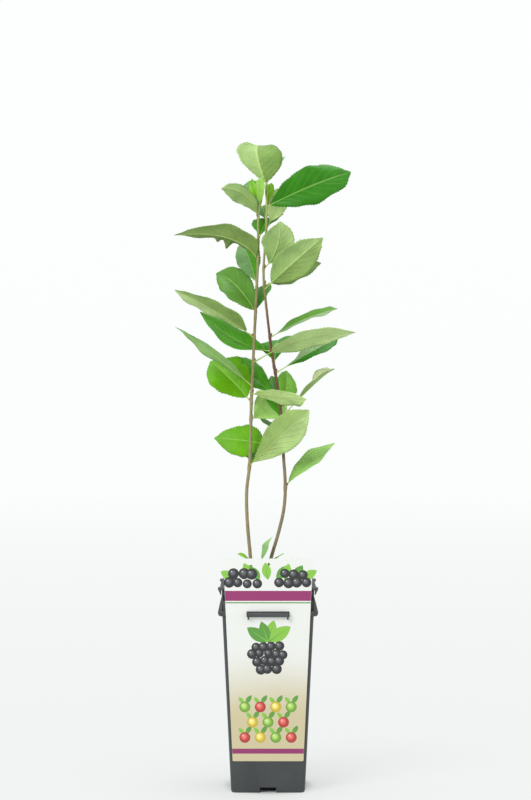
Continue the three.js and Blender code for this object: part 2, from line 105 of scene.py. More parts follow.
bpy.ops.object.select_all(action="DESELECT")
bpy.ops.mesh.primitive_plane_add(size=FLOOR_SIZE * MM)
floor = bpy.context.object
floor.name = "studio_floor"
sweep, tree, shader = new_material("matte_white_sweep", FLOOR_PAPER, 0.9)
place = add_node(tree, "TexCoord")
away = add_node(tree, "VectorMath", [place.outputs["Object"]], operation="LENGTH")
growing = add_node(tree, "MapRange", [away, *SWEEP_GROWS, SWEEP_LEAST])
starting = add_node(tree, "MapRange", [away, *SWEEP_STARTS], interpolation_type="SMOOTHSTEP")
fading = add_node(tree, "Math", [growing, starting], operation="MULTIPLY")
paling = add_node(tree, "MapRange", [away, *SWEEP_PALES])
tint = add_node(tree, "Mix", {"Factor": paling, "A": SWEEP_NEAR, "B": SWEEP_FAR}, data_type="RGBA")
backlit = add_node(tree, "Emission", {"Color": tint})
feed(tree.nodes["Material Output"], {"Surface": add_node(tree, "MixShader", [fading, shader, backlit])})
floor.data.materials.append(sweep)

world = bpy.data.worlds.new("white_studio")
bpy.context.scene.world = world
world.use_nodes = True
tree = world.node_tree
sky = tree.nodes["Background"]
feed(sky, {"Color": WHITE, "Strength": SKY_LIGHT})
place = add_node(tree, "TexCoord")
height = add_node(tree, "SeparateXYZ", [place.outputs["Generated"]])
rise = add_node(tree, "MapRange", [height.outputs["Z"], *SKY_RISES])
seen = add_node(tree, "Mix", {"Factor": rise, "A": SWEEP_FAR, "B": SKY_SEEN_TOP}, data_type="RGBA")
sky_seen = add_node(tree, "Background", {"Color": seen})
ray = add_node(tree, "LightPath").outputs["Is Camera Ray"]
feed(tree.nodes["World Output"], {"Surface": add_node(tree, "MixShader", [ray, sky, sky_seen])})

for name, (spot, size, watts, colour) in LIGHTS.items():
    data = bpy.data.lights.new(name, "AREA")
    data.size = size * MM
    data.energy = watts
    data.color = linear(colour)[:3]
    lamp = bpy.data.objects.new(name, data)
    lamp.location = Vector(spot) * MM
    lamp.rotation_euler = (LIGHT_AIM - lamp.location).to_track_quat("-Z", "Y").to_euler()
    bpy.context.collection.objects.link(lamp)

camera_data = bpy.data.cameras.new("camera")
camera_data.lens = CAMERA_LENS
camera_data.sensor_fit = "VERTICAL"
camera_data.sensor_height = CAMERA_SENSOR
camera = bpy.data.objects.new("camera", camera_data)
camera.location = Vector(CAMERA_PLACE) * MM
camera.rotation_euler = (math.radians(90), 0, 0)
bpy.context.collection.objects.link(camera)
bpy.context.scene.camera = camera
bpy.context.scene.view_settings.view_transform = "Standard"


# Pot: a deep square nursery pot, injection moulded in anthracite polypropylene. A band runs round
# it under a narrower collar, with lugs at the corners of the collar and a hook for the card. A block
# that cuts or joins runs PAST the face it meets.
POT_HEIGHT = 227
POT_FOOT_WIDTH = 81.5
POT_NECK_WIDTH = 100.5
POT_WIDTH = 110
POT_WALL = 1.6
POT_FLOOR = 3
POT_CORNER = 5
BAND_BOTTOM = 196
BAND_TOP = 201
BAND_CHAMFER = 2
BAND_EDGE = 1
COLLAR_WIDTH = 100
LIP_WIDTH = 106
LIP_FLARE = 5
LIP_THICK = 1
INNER_KNEE = 192
LUG_LENGTH = 14
LUG_GAP_BOTTOM = 212
LUG_GAP_TOP = 219
LUG_POST = 3.8
LUG_LIP = 2.4
LUG_SHEET = 0.6
WINDOW_LENGTH = 8
HOOK_WIDTH = 45
HOOK_BOTTOM = 196.4
HOOK_TOP = 200.8
HOOK_REACH = 59.8
HOOK_LUG_WIDTH = 2
HOOK_LUG_BOTTOM = 193
HOOK_LUG_THICK = 1.6
ARCH_WIDTH = 18
ARCH_HEIGHT = 6
ARCH_DEPTH = 16
ARCH_ROOF = 1.5
DRAIN_RADIUS = 4
DRAIN_SPREAD = 22
PAST = 1
WELD = 0.02
FLAT_ANGLE = 0.5
EDGE_SOFTNESS = 0.35
EDGE_ANGLE = 35
SMOOTH_ANGLE = 40
CORNER_SEGMENTS = 8
POT_GREY = "#393d3e"
POT_DUST = "#6f7371"
half = POT_WIDTH / 2
foot = POT_FOOT_WIDTH / 2


def body_width(z):
    return POT_FOOT_WIDTH + (POT_NECK_WIDTH - POT_FOOT_WIDTH) * z / BAND_BOTTOM


def inner_width(z):
    return body_width(z) - 2 * POT_WALL


def pick(piece):
    """Selects one piece alone and makes it the active one."""
    bpy.ops.object.select_all(action="DESELECT")
    bpy.context.view_layer.objects.active = piece
    piece.select_set(True)


def edit(piece):
    """Opens one piece in edit mode, selected all over."""
    pick(piece)
    bpy.ops.object.mode_set(mode="EDIT")
    bpy.ops.mesh.select_all(action="SELECT")


def close_up():
    """Turns the faces of the piece in edit mode outwards and leaves that mode."""
    bpy.ops.mesh.select_all(action="SELECT")
    bpy.ops.mesh.normals_make_consistent(inside=False)
    bpy.ops.object.mode_set(mode="OBJECT")


def square_tower(name, stages, corner):
    """A closed tower of rounded squares: stages are (width, height), from the lowest up."""
    bpy.ops.object.select_all(action="DESELECT")
    width, z = stages[0]
    bpy.ops.mesh.primitive_plane_add(size=width * MM, location=(0, 0, z * MM))
    bpy.ops.object.transform_apply()
    tower = bpy.context.object
    tower.name = name
    edit(tower)
    bpy.ops.mesh.bevel(offset=corner * MM, segments=CORNER_SEGMENTS, affect="VERTICES")
    bpy.ops.mesh.select_all(action="SELECT")
    for wider, higher in stages[1:]:
        bpy.ops.mesh.extrude_region_move(TRANSFORM_OT_translate={"value": (0, 0, (higher - z) * MM)})
        ratio = wider / width
        bpy.ops.transform.resize(value=(ratio, ratio, 1), center_override=(0, 0, higher * MM))
        width, z = wider, higher
    close_up()
    return tower


def block(low, high):
    """A box between two corners in millimetres, for joining to a piece or cutting it."""
    bpy.ops.object.select_all(action="DESELECT")
    size = (Vector(high) - Vector(low)) * MM
    middle = (Vector(high) + Vector(low)) / 2 * MM
    bpy.ops.mesh.primitive_cube_add(size=1, location=middle, scale=size)
    bpy.ops.object.transform_apply()
    return bpy.context.object


def corner_block(corner, span_x, span_y, low, high):
    """A box in one corner of the pot, by its spans from the middle outwards along X and Y."""
    xs = sorted(corner[0] * x for x in span_x)
    ys = sorted(corner[1] * y for y in span_y)
    return block((xs[0], ys[0], low), (xs[1], ys[1], high))


def arch_blocks(grown, near):
    """The four blocks that the arches in the foot take up, grown all round, from near inwards."""
    wide = ARCH_WIDTH / 2 + grown
    for side in (-1, 1):
        ends = sorted((side * near, side * (foot - ARCH_DEPTH - grown)))
        yield block((-wide, ends[0], grown - PAST), (wide, ends[1], ARCH_HEIGHT + grown))
        yield block((ends[0], -wide, grown - PAST), (ends[1], wide, ARCH_HEIGHT + grown))


def peg(x, y, radius, depth):
    """An upright round peg with its middle at no height, for cutting a hole."""
    bpy.ops.object.select_all(action="DESELECT")
    bpy.ops.mesh.primitive_cylinder_add(radius=radius * MM, depth=depth * MM, vertices=32,
                                        location=(x * MM, y * MM, 0))
    return bpy.context.object


def apply_modifiers(piece):
    pick(piece)
    for modifier in list(piece.modifiers):
        bpy.ops.object.modifier_apply(modifier=modifier.name)


def carve(piece, tool, operation):
    """Joins, cuts or keeps the piece with another solid, which is used up."""
    modifier = piece.modifiers.new(operation.lower(), "BOOLEAN")
    modifier.operation = operation
    modifier.solver = "EXACT"
    modifier.object = tool
    apply_modifiers(piece)
    bpy.data.objects.remove(tool, do_unlink=True)


def ride_root(piece, slot, *nodes):
    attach(piece, "root")
    if nodes:
        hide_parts(*nodes)


pot = square_tower("nursery_pot", [
    (POT_FOOT_WIDTH - BAND_CHAMFER, 0),
    (body_width(BAND_CHAMFER), BAND_CHAMFER),
    (POT_NECK_WIDTH, BAND_BOTTOM - BAND_CHAMFER / 2),
    (POT_WIDTH - BAND_CHAMFER, BAND_BOTTOM),
    (POT_WIDTH, BAND_BOTTOM + BAND_CHAMFER),
    (POT_WIDTH, BAND_TOP - BAND_EDGE / 2),
    (POT_WIDTH - BAND_EDGE, BAND_TOP),
    (COLLAR_WIDTH + BAND_EDGE, BAND_TOP + BAND_EDGE / 5),
    (COLLAR_WIDTH, BAND_TOP + BAND_EDGE),
    (COLLAR_WIDTH, POT_HEIGHT - LIP_FLARE),
    (LIP_WIDTH, POT_HEIGHT - LIP_THICK),
    (LIP_WIDTH, POT_HEIGHT),
], POT_CORNER)
corners = [(1, 1), (-1, 1), (-1, -1), (1, -1)]
lug_span = (half - LUG_LENGTH, half + PAST)
lower_lug_stages = [(POT_WIDTH, BAND_TOP - PAST), (LIP_WIDTH, LUG_GAP_BOTTOM)]
upper_lug_stages = [
    (LIP_WIDTH, LUG_GAP_TOP),
    (POT_WIDTH, POT_HEIGHT - 2 * LIP_THICK),
    (POT_WIDTH, POT_HEIGHT),
]
for corner in corners:
    for stages, low, high in ((lower_lug_stages, BAND_TOP - 2 * PAST, POT_HEIGHT),
                              (upper_lug_stages, BAND_TOP, POT_HEIGHT + PAST)):
        lug = square_tower("lug", stages, POT_CORNER)
        carve(lug, corner_block(corner, lug_span, lug_span, low, high), "INTERSECT")
        carve(pot, lug, "UNION")
hook_half = HOOK_WIDTH / 2
carve(pot, block((-hook_half, -HOOK_REACH, HOOK_BOTTOM), (hook_half, -half + POT_WALL, HOOK_TOP)), "UNION")
hook_lug_wide = (hook_half - HOOK_LUG_WIDTH, hook_half)
hook_lug_deep = (HOOK_REACH - HOOK_LUG_THICK, HOOK_REACH)
for side in (-1, 1):
    hook_lug = corner_block((side, -1), hook_lug_wide, hook_lug_deep, HOOK_LUG_BOTTOM, HOOK_BOTTOM + PAST)
    carve(pot, hook_lug, "UNION")
carve(pot, square_tower("cavity", [
    (inner_width(POT_FLOOR), POT_FLOOR),
    (inner_width(INNER_KNEE), INNER_KNEE),
    (COLLAR_WIDTH - 2 * POT_WALL, POT_HEIGHT + PAST),
], POT_CORNER - POT_WALL), "DIFFERENCE")
pocket_long = (half - LUG_LENGTH - PAST, half - LUG_POST)
pocket_deep = (COLLAR_WIDTH / 2 + LUG_SHEET, half + PAST)
window_span = (COLLAR_WIDTH / 2 - WINDOW_LENGTH, half + PAST)
for corner in corners:
    for span_x, span_y in ((pocket_long, pocket_deep), (pocket_deep, pocket_long)):
        pocket = corner_block(corner, span_x, span_y, BAND_TOP + LUG_SHEET, POT_HEIGHT - LUG_LIP)
        carve(pot, pocket, "DIFFERENCE")
    carve(pot, corner_block(corner, window_span, window_span, LUG_GAP_BOTTOM, LUG_GAP_TOP), "DIFFERENCE")
    drain = peg(corner[0] * DRAIN_SPREAD, corner[1] * DRAIN_SPREAD, DRAIN_RADIUS, 4 * POT_FLOOR)
    carve(pot, drain, "DIFFERENCE")
for roof in arch_blocks(ARCH_ROOF, foot - PAST):
    carve(pot, roof, "UNION")
for opening in arch_blocks(0, foot + 2 * PAST):
    carve(pot, opening, "DIFFERENCE")
edit(pot)
bpy.ops.mesh.remove_doubles(threshold=WELD * MM)
bpy.ops.mesh.dissolve_limited(angle_limit=math.radians(FLAT_ANGLE))
bpy.ops.object.mode_set(mode="OBJECT")
softener = pot.modifiers.new("soft_edges", "BEVEL")
softener.width = EDGE_SOFTNESS * MM
softener.segments = 2
softener.limit_method = "ANGLE"
softener.angle_limit = math.radians(EDGE_ANGLE)
apply_modifiers(pot)
bpy.ops.object.shade_smooth_by_angle(angle=math.radians(SMOOTH_ANGLE))

# Moulded polypropylene: satin, with a fine spark-eroded grain, faint long draw marks down the
# walls, and grey soil dust in smudged streaks along those marks.
polypropylene, tree, shader = new_material("moulded_polypropylene", POT_GREY, 0.52)
place = add_node(tree, "TexCoord").outputs["Object"]
grain = add_node(tree, "TexNoise", {"Vector": place, "Scale": 1 / (0.9 * MM), "Detail": 3})
stretch = add_node(tree, "Mapping", {"Vector": place, "Scale": (1, 1, 0.06)})
marks = add_node(tree, "TexNoise", {"Vector": stretch, "Scale": 1 / (5 * MM), "Detail": 4})
smudge = add_node(tree, "TexNoise", {"Vector": place, "Scale": 1 / (45 * MM), "Detail": 6, "Roughness": 0.65})
dust = add_node(tree, "MapRange", [smudge, 0.48, 0.8, 0, 0.3])
streak = add_node(tree, "Math", [dust, marks], operation="MULTIPLY")
dusty = add_node(tree, "Mix", {"Factor": streak, "A": POT_GREY, "B": POT_DUST}, data_type="RGBA")
gloss = add_node(tree, "MapRange", [smudge, 0.3, 0.7, 0.42, 0.6])
grained = add_node(tree, "Bump", {"Strength": 0.25, "Distance": 0.05 * MM, "Height": grain})
marked = add_node(tree, "Bump", {"Strength": 0.2, "Distance": 0.2 * MM, "Height": marks, "Normal": grained})
feed(shader, {"IOR": 1.49, "Base Color": dusty, "Roughness": gloss, "Normal": marked})
pot.data.materials.clear()
pot.data.materials.append(polypropylene)
ride_root(pot, "pot_plastic", "pot")


# Soil: moist peat with bark fines, filled to 20 mm under the rim. Its surface is rough and is
# strewn with crumbs, chips of bark and a few pale grains.
SOIL_TOP = 207
SOIL_CLEAR = 0.3
SOIL_EDGE = 0.2
SOIL_BED_DROP = 3
SOIL_STEPS = 72
SOIL_ROUGHNESS = 1.3
SOIL_LUMP = 9
CRUMBS = 1100
CHIPS = 130
CRUMB_SIZES = (0.4, 1.3)
CHIP_SIZES = (1.2, 2.6)
CRUMB_SHAPE = (1.0, 0.8, 0.7)
CHIP_SHAPE = (2.2, 1.0, 0.35)
GRIT_SHARE = 0.03
LITTER_MARGIN = 4
PEAT_DARK = "#1d140e"
PEAT_BROWN = "#5a4431"
CHIP_BROWN = "#7a5a3c"
GRAIN_PALE = "#c9c2b2"
SOIL_SEED = 11


def mesh_piece(name, verts, faces, materials=(), indices=None, smooth=True):
    """A piece from arrays in millimetres; indices gives each face's material."""
    mesh = bpy.data.meshes.new(name)
    mesh.from_pydata([Vector(v) * MM for v in verts], [], faces)
    for material in materials:
        mesh.materials.append(material)
    if indices is not None:
        mesh.polygons.foreach_set("material_index", indices)
    mesh.polygons.foreach_set("use_smooth", [smooth] * len(faces))
    mesh.update()
    piece = bpy.data.objects.new(name, mesh)
    bpy.context.collection.objects.link(piece)
    return piece


def soil_height(x, y):
    rough = noise.fractal(Vector((x, y, 3.0)) / SOIL_LUMP, 0.7, 2.1, 5)
    return SOIL_TOP - 1 + SOIL_ROUGHNESS * rough


soil_width = COLLAR_WIDTH - 2 * POT_WALL - 2 * SOIL_CLEAR
soil = square_tower("soil_bed", [
    (inner_width(POT_FLOOR) - 2 * SOIL_CLEAR, POT_FLOOR + SOIL_CLEAR),
    (inner_width(INNER_KNEE) - 2 * SOIL_CLEAR, INNER_KNEE),
    (soil_width - 2 * SOIL_EDGE, SOIL_TOP - SOIL_BED_DROP),
], POT_CORNER - POT_WALL)
for hollow in arch_blocks(ARCH_ROOF + SOIL_CLEAR, foot):
    carve(soil, hollow, "DIFFERENCE")
soil_half = soil_width / 2 - SOIL_EDGE
corner_inset = soil_half - (POT_CORNER - POT_WALL)
verts = []
for i in range(SOIL_STEPS + 1):
    for j in range(SOIL_STEPS + 1):
        x = soil_half * (2 * i / SOIL_STEPS - 1)
        y = soil_half * (2 * j / SOIL_STEPS - 1)
        out = Vector((max(0, abs(x) - corner_inset), max(0, abs(y) - corner_inset)))
        if out.length > soil_half - corner_inset:
            out *= (soil_half - corner_inset) / out.length
            x = math.copysign(corner_inset + out.x, x)
            y = math.copysign(corner_inset + out.y, y)
        verts.append((x, y, soil_height(x, y)))
faces = []
for i in range(SOIL_STEPS):
    for j in range(SOIL_STEPS):
        a = i * (SOIL_STEPS + 1) + j
        faces.append((a, a + SOIL_STEPS + 1, a + SOIL_STEPS + 2, a + 1))
surface = mesh_piece("surface", verts, faces)
pick(soil)
surface.select_set(True)
bpy.ops.object.join()
bpy.ops.object.shade_smooth()

# Peat: matte and dark, mottled from nearly black to brown, with a coarse fibrous bump.
peat, tree, shader = new_material("moist_peat", PEAT_DARK, 0.92)
place = add_node(tree, "TexCoord").outputs["Object"]
mottle = add_node(tree, "TexNoise", {"Vector": place, "Scale": 1 / (4 * MM), "Detail": 8, "Roughness": 0.7})
shade = add_node(tree, "Mix", {"Factor": mottle, "A": PEAT_DARK, "B": PEAT_BROWN}, data_type="RGBA")
fibre = add_node(tree, "Bump", {"Strength": 0.8, "Distance": 0.8 * MM, "Height": mottle})
feed(shader, {"Base Color": shade, "Normal": fibre})
soil.data.materials.clear()
soil.data.materials.append(peat)
ride_root(soil, "potting_soil", "soil")

# Crumbs, chips and grains: lumps cut from an eight-sided stone, each turned, flattened and sunk.
dice = random.Random(SOIL_SEED)
LUMP = [(1, 0, 0), (0, 1, 0), (-1, 0, 0), (0, -1, 0), (0, 0, 1), (0, 0, -1)]
LUMP_FACES = [(0, 1, 4), (1, 2, 4), (2, 3, 4), (3, 0, 4), (1, 0, 5), (2, 1, 5), (3, 2, 5), (0, 3, 5)]
verts, faces, kinds = [], [], []
for number in range(CRUMBS + CHIPS):
    chip = number >= CRUMBS
    kind = 1 if chip else (2 if dice.random() < GRIT_SHARE else 0)
    size = dice.uniform(*(CHIP_SIZES if chip else CRUMB_SIZES))
    shape = Matrix.Diagonal(CHIP_SHAPE if chip else CRUMB_SHAPE)
    turn = Matrix.Rotation(dice.uniform(0, math.tau), 3, "Z")
    turn = turn @ Matrix.Rotation(dice.uniform(-0.5, 0.5), 3, "X")
    x = dice.uniform(-1, 1) * (soil_half - LITTER_MARGIN)
    y = dice.uniform(-1, 1) * (soil_half - LITTER_MARGIN)
    middle = Vector((x, y, soil_height(x, y) + size * 0.15))
    first = len(verts)
    for point in LUMP:
        worn = Vector(point) * dice.uniform(0.75, 1.15)
        verts.append(middle + turn @ (shape @ (worn * size)))
    faces.extend(tuple(first + k for k in face) for face in LUMP_FACES)
    kinds.extend([kind] * len(LUMP_FACES))
chip_bark = new_material("bark_chip", CHIP_BROWN, 0.85)[0]
grit = new_material("pale_grit", GRAIN_PALE, 0.8)[0]
litter = mesh_piece("soil_litter", verts, faces, [peat, chip_bark, grit], kinds, smooth=False)
ride_root(litter, "potting_soil")


# Card: thin board, printed on its front and laminated, that hangs by a slot on the pot's hook
# and leans on the band and the foot. It tapers with the pot and has a punched hole at the top.
CARD_TOP = 260
CARD_BOTTOM = 35.5
CARD_TOP_WIDTH = 98
CARD_BOTTOM_WIDTH = 78
CARD_THICK = 0.55
CARD_CORNER = 1.2
CARD_HOLE_RADIUS = 2
CARD_HOLE_DROP = 6.5
CARD_SLOT_WIDTH = 47
CARD_SLOT_BOTTOM = 195.6
CARD_SLOT_TOP = 201.8
CARD_CUT = 2
FOOT_HALF = body_width(CARD_BOTTOM) / 2
CARD_LEAN = math.atan2(POT_WIDTH / 2 - FOOT_HALF, BAND_TOP - CARD_BOTTOM)
CARD_PLACE = (Matrix.Translation((0, -FOOT_HALF - SOIL_CLEAR, CARD_BOTTOM))
              @ Matrix.Rotation(math.radians(90) + CARD_LEAN, 4, "X"))
CARD_PALE = "#dadcd8"
CARD_SAND = "#c2b893"
SAND_FADES = (80 * MM, 165 * MM)
LAMINATE_FILM = {"Coat Weight": 0.35, "Coat Roughness": 0.2}


def along_card(z):
    return (z - CARD_BOTTOM) / math.cos(CARD_LEAN)


card_height = along_card(CARD_TOP)
bpy.ops.object.select_all(action="DESELECT")
bpy.ops.mesh.primitive_plane_add(size=1, location=(0, card_height / 2 * MM, 0))
card = bpy.context.object
card.name = "picture_card"
card.scale = (CARD_BOTTOM_WIDTH * MM, card_height * MM, 1)
bpy.ops.object.transform_apply()
edit(card)
bpy.ops.mesh.select_all(action="DESELECT")
bpy.ops.object.mode_set(mode="OBJECT")
for vertex in card.data.vertices:
    vertex.select = vertex.co.y / MM > card_height / 2
bpy.ops.object.mode_set(mode="EDIT")
widening = CARD_TOP_WIDTH / CARD_BOTTOM_WIDTH
bpy.ops.transform.resize(value=(widening, 1, 1), center_override=(0, card_height * MM, 0))
bpy.ops.mesh.select_all(action="SELECT")
bpy.ops.mesh.bevel(offset=CARD_CORNER * MM, segments=4, affect="VERTICES")
bpy.ops.mesh.select_all(action="SELECT")
bpy.ops.mesh.extrude_region_move(TRANSFORM_OT_translate={"value": (0, 0, CARD_THICK * MM)})
close_up()
slot_half = CARD_SLOT_WIDTH / 2
slot = block((-slot_half, along_card(CARD_SLOT_BOTTOM), -CARD_CUT),
             (slot_half, along_card(CARD_SLOT_TOP), CARD_CUT))
carve(card, slot, "DIFFERENCE")
carve(card, peg(0, card_height - CARD_HOLE_DROP, CARD_HOLE_RADIUS, 2 * CARD_CUT), "DIFFERENCE")
card.data.transform(Matrix.Scale(MM, 4) @ CARD_PLACE @ Matrix.Scale(1 / MM, 4))
card.data.update()

# Laminated print: a clear gloss film over a matt ink, pale above and sand-coloured below.
laminate, tree, shader = new_material("laminated_board", CARD_PALE, 0.42)
place = add_node(tree, "TexCoord").outputs["Object"]
height = add_node(tree, "SeparateXYZ", [place]).outputs["Z"]
grain = add_node(tree, "TexNoise", {"Vector": place, "Scale": 1 / (60 * MM), "Detail": 3})
uneven = add_node(tree, "Math", [grain, 30 * MM, -15 * MM], operation="MULTIPLY_ADD")
level = add_node(tree, "Math", [height, uneven], operation="ADD")
fade = add_node(tree, "MapRange", [level, *SAND_FADES], interpolation_type="SMOOTHSTEP")
tone = add_node(tree, "Mix", {"Factor": fade, "A": CARD_SAND, "B": CARD_PALE}, data_type="RGBA")
feed(shader, {"Base Color": tone, **LAMINATE_FILM})
card.data.materials.clear()
card.data.materials.append(laminate)
ride_root(card, "printed_card", "card")

# Print on the card: a plain orchard pattern of our own. A garland of dark berries over a plum stripe,
# a hanging bunch, and rows of round fruit on sand, laid as thin ink shapes coloured in the mesh.
INK_STEP = 0.02
INK_PLUM = "#8a2461"
INK_GREEN = "#7fb83f"
INK_DEEP = "#528f33"
INK_WHITE = "#f2f2f0"
BERRY_TONES = ("#141416", "#2d2e31", "#6a6c72")
FRUIT_TONES = (
    ("#9c2a30", "#c8473f", "#e88a78"),
    ("#b79a2c", "#d8c84a", "#efe79c"),
    ("#5f8f2c", "#8cba45", "#c3dc84"),
)
STRIPES = ((213.5, 224.5, INK_PLUM), (210.8, 212, INK_DEEP), (44, 49.5, INK_PLUM))
GARLAND_HEIGHT = 236
GARLAND_TURNS = (150, 60, 115, 130, 100, 50, 75, 55, 30)
GARLAND_ROWS = ((7, (-38, -27, -17, 18, 28, 38)), (-3, (-42, -32.5, -23, -12.5, 11, 21.5, 32, 41)))
BUNCH_HEIGHT = 151
BUNCH_LEAVES = ((35, 30), (145, 28), (75, 25), (108, 24))
BUNCH_ROWS = ((-1.5, -0.5, 0.5, 1.5), (-2, -1, 0, 1, 2), (-1.5, -0.5, 0.5, 1.5), (-1, 0, 1))
ORCHARD_HEIGHT = 62
ORCHARD_STEP = 17
PRINT_SEED = 5
ink_verts, ink_faces, ink_colours = [], [], []


def ink(points, colours, layer):
    """A flat fan of ink: its middle point first, then its edge, with a colour for each point."""
    first = len(ink_verts)
    lift = CARD_THICK + INK_STEP * (1 + layer)
    ink_verts.extend(CARD_PLACE @ Vector((x, y, lift)) for x, y in points)
    ink_colours.extend(linear(colour) for colour in colours)
    count = len(points) - 1
    ink_faces.extend((first, first + 1 + k, first + 1 + (k + 1) % count) for k in range(count))


def ink_fruit(x, y, radius, tones, layer):
    """A round fruit of three tones: a dark rim, a body lit from the upper left, and a small gleam."""
    rim, body, gleam = tones
    for middle, edge, shift, size, steps, lift in (
            (body, rim, (0, 0), 1, 28, 0),
            (gleam, body, (-0.16, 0.18), 0.62, 24, 0.3),
            (INK_WHITE, gleam, (-0.34, 0.36), 0.15, 12, 0.6)):
        spot = (x + shift[0] * radius, y + shift[1] * radius)
        circle = [(spot[0] + size * radius * math.cos(turn), spot[1] + size * radius * math.sin(turn))
                  for turn in (math.tau * k / steps for k in range(steps))]
        ink([spot] + circle, [middle] + [edge] * steps, layer + lift)


def ink_leaf(x, y, turn, length, width, deep, layer):
    """A pointed leaf from its foot (x, y), with a rib of the other green."""
    colour, rib = (INK_DEEP, INK_GREEN) if deep else (INK_GREEN, INK_DEEP)
    ahead = Vector((math.cos(math.radians(turn)), math.sin(math.radians(turn))))
    across = Vector((-ahead.y, ahead.x))
    foot = Vector((x, y))
    steps = 14
    edge = []
    for k in range(2 * steps):
        side = 1 if k < steps else -1
        t = k / steps if k < steps else 2 - k / steps
        edge.append(foot + ahead * length * t + across * side * width / 2 * math.sin(math.pi * t) ** 0.8)
    ink([foot + ahead * length / 2] + edge, [colour] * (2 * steps + 1), layer)
    thin = width * 0.04
    spine = [foot, foot + across * thin, foot + ahead * length * 0.92, foot - across * thin]
    ink([foot + ahead * length * 0.4] + spine, [rib] * 5, layer + 0.5)


def ink_stripe(low, high, colour, layer):
    """A straight stripe across the whole card between two heights."""
    def edge(z):
        s = along_card(z)
        wide = CARD_BOTTOM_WIDTH + (CARD_TOP_WIDTH - CARD_BOTTOM_WIDTH) * s / card_height
        return wide / 2 - 0.2, s
    (x0, y0), (x1, y1) = edge(low), edge(high)
    ink([(0, (y0 + y1) / 2), (-x0, y0), (x0, y0), (x1, y1), (-x1, y1)], [colour] * 5, layer)


def ink_berries(places, least, most, layer):
    """Dark berries, each a little off its place, the later ones over the earlier."""
    for number, (x, y) in enumerate(places):
        x += dice.uniform(-1, 1)
        y += dice.uniform(-1, 1)
        ink_fruit(x, y, dice.uniform(least, most), BERRY_TONES, layer + 0.9 * number / len(places))


dice = random.Random(PRINT_SEED)
for low, high, colour in STRIPES:
    ink_stripe(low, high, colour, 4)
garland = along_card(GARLAND_HEIGHT)
for number, turn in enumerate(GARLAND_TURNS):
    ink_leaf(9 * number - 36, garland + 1, turn, 18 + number % 3, 10, number % 2, number / 10)
ink_berries([(x, garland + lift) for lift, xs in GARLAND_ROWS for x in xs], 5, 6.2, 2)
bunch = along_card(BUNCH_HEIGHT)
for number, (turn, length) in enumerate(BUNCH_LEAVES):
    ink_leaf(0, bunch + 17, turn, length, 0.48 * length, number % 2, number / 5)
ink_berries([(8.6 * step, bunch + 12 - 8.2 * row) for row, steps in enumerate(BUNCH_ROWS) for step in steps],
            4.9, 5.7, 2)
for row in range(3):
    for number in range(4 - row % 2):
        x = ORCHARD_STEP * (number - 1.5 + row % 2 / 2)
        y = along_card(ORCHARD_HEIGHT + ORCHARD_STEP * row)
        ink_leaf(x + 1, y + 4, 55, 11, 5, True, 0)
        ink_leaf(x - 1, y + 4, 130, 9, 4.4, False, 0.5)
        ink_fruit(x, y, 6, FRUIT_TONES[(number + row) % 3], 1.5)
print_ink = mesh_piece("card_print", ink_verts, ink_faces)
attribute = print_ink.data.color_attributes.new("ink", "FLOAT_COLOR", "POINT")
attribute.data.foreach_set("color", [value for colour in ink_colours for value in colour])

# Offset ink under the same film.
offset_ink, tree, shader = new_material("laminated_offset_ink", CARD_PALE, 0.42)
inks = add_node(tree, "VertexColor", layer_name="ink")
feed(shader, {"Base Color": inks, **LAMINATE_FILM})
print_ink.data.materials.append(offset_ink)
ride_root(print_ink, "printed_card")


# Stems: two slender woody stems and a short green shoot from the root. Smooth young bark with fine
# ridges and pale pores, tan at the foot, red-brown higher up and green at the growing tips.
FLARE = 0.57
FLARE_HEIGHT = 7


def spline_point(points, t):
    """A point on the smooth curve through the points, t from 0 at the first to 1 at the last."""
    place = (len(points) - 1) * t
    index = min(int(place), len(points) - 2)
    weight = place - index
    b = points[index]
    c = points[index + 1]
    a = points[index - 1] if index > 0 else b + b - c
    d = points[index + 2] if index + 2 < len(points) else c + c - b
    gaps = [(q - p).length ** 0.5 for p, q in ((a, b), (b, c), (c, d))]
    start = ((b - a) / gaps[0] - (c - a) / (gaps[0] + gaps[1]) + (c - b) / gaps[1]) * gaps[1]
    end = ((c - b) / gaps[1] - (d - b) / (gaps[1] + gaps[2]) + (d - c) / gaps[2]) * gaps[1]
    curve = b + start * weight
    curve += (3 * (c - b) - 2 * start - end) * weight ** 2
    curve += (2 * (b - c) + start + end) * weight ** 3
    return curve


class Stem:
    """A stem by its radius at the foot and at the tip and the points that it runs through."""
    def __init__(self, foot, tip, *line):
        self.foot = foot
        self.tip = tip
        self.points = [Vector(p) for p in line]
        self.bottom = self.points[0].z
        self.top = self.points[-1].z

    def at(self, z):
        low, high = 0.0, 1.0
        for _ in range(40):
            middle = (low + high) / 2
            if spline_point(self.points, middle).z < z:
                low = middle
            else:
                high = middle
        return spline_point(self.points, low)

    def along(self, z):
        return (self.at(min(z + 2, self.top)) - self.at(max(z - 2, self.bottom))).normalized()

    def radius(self, z):
        taper = self.foot + (self.tip - self.foot) * (z - self.bottom) / (self.top - self.bottom)
        return taper + FLARE * self.foot * math.exp((self.bottom - z) / FLARE_HEIGHT)


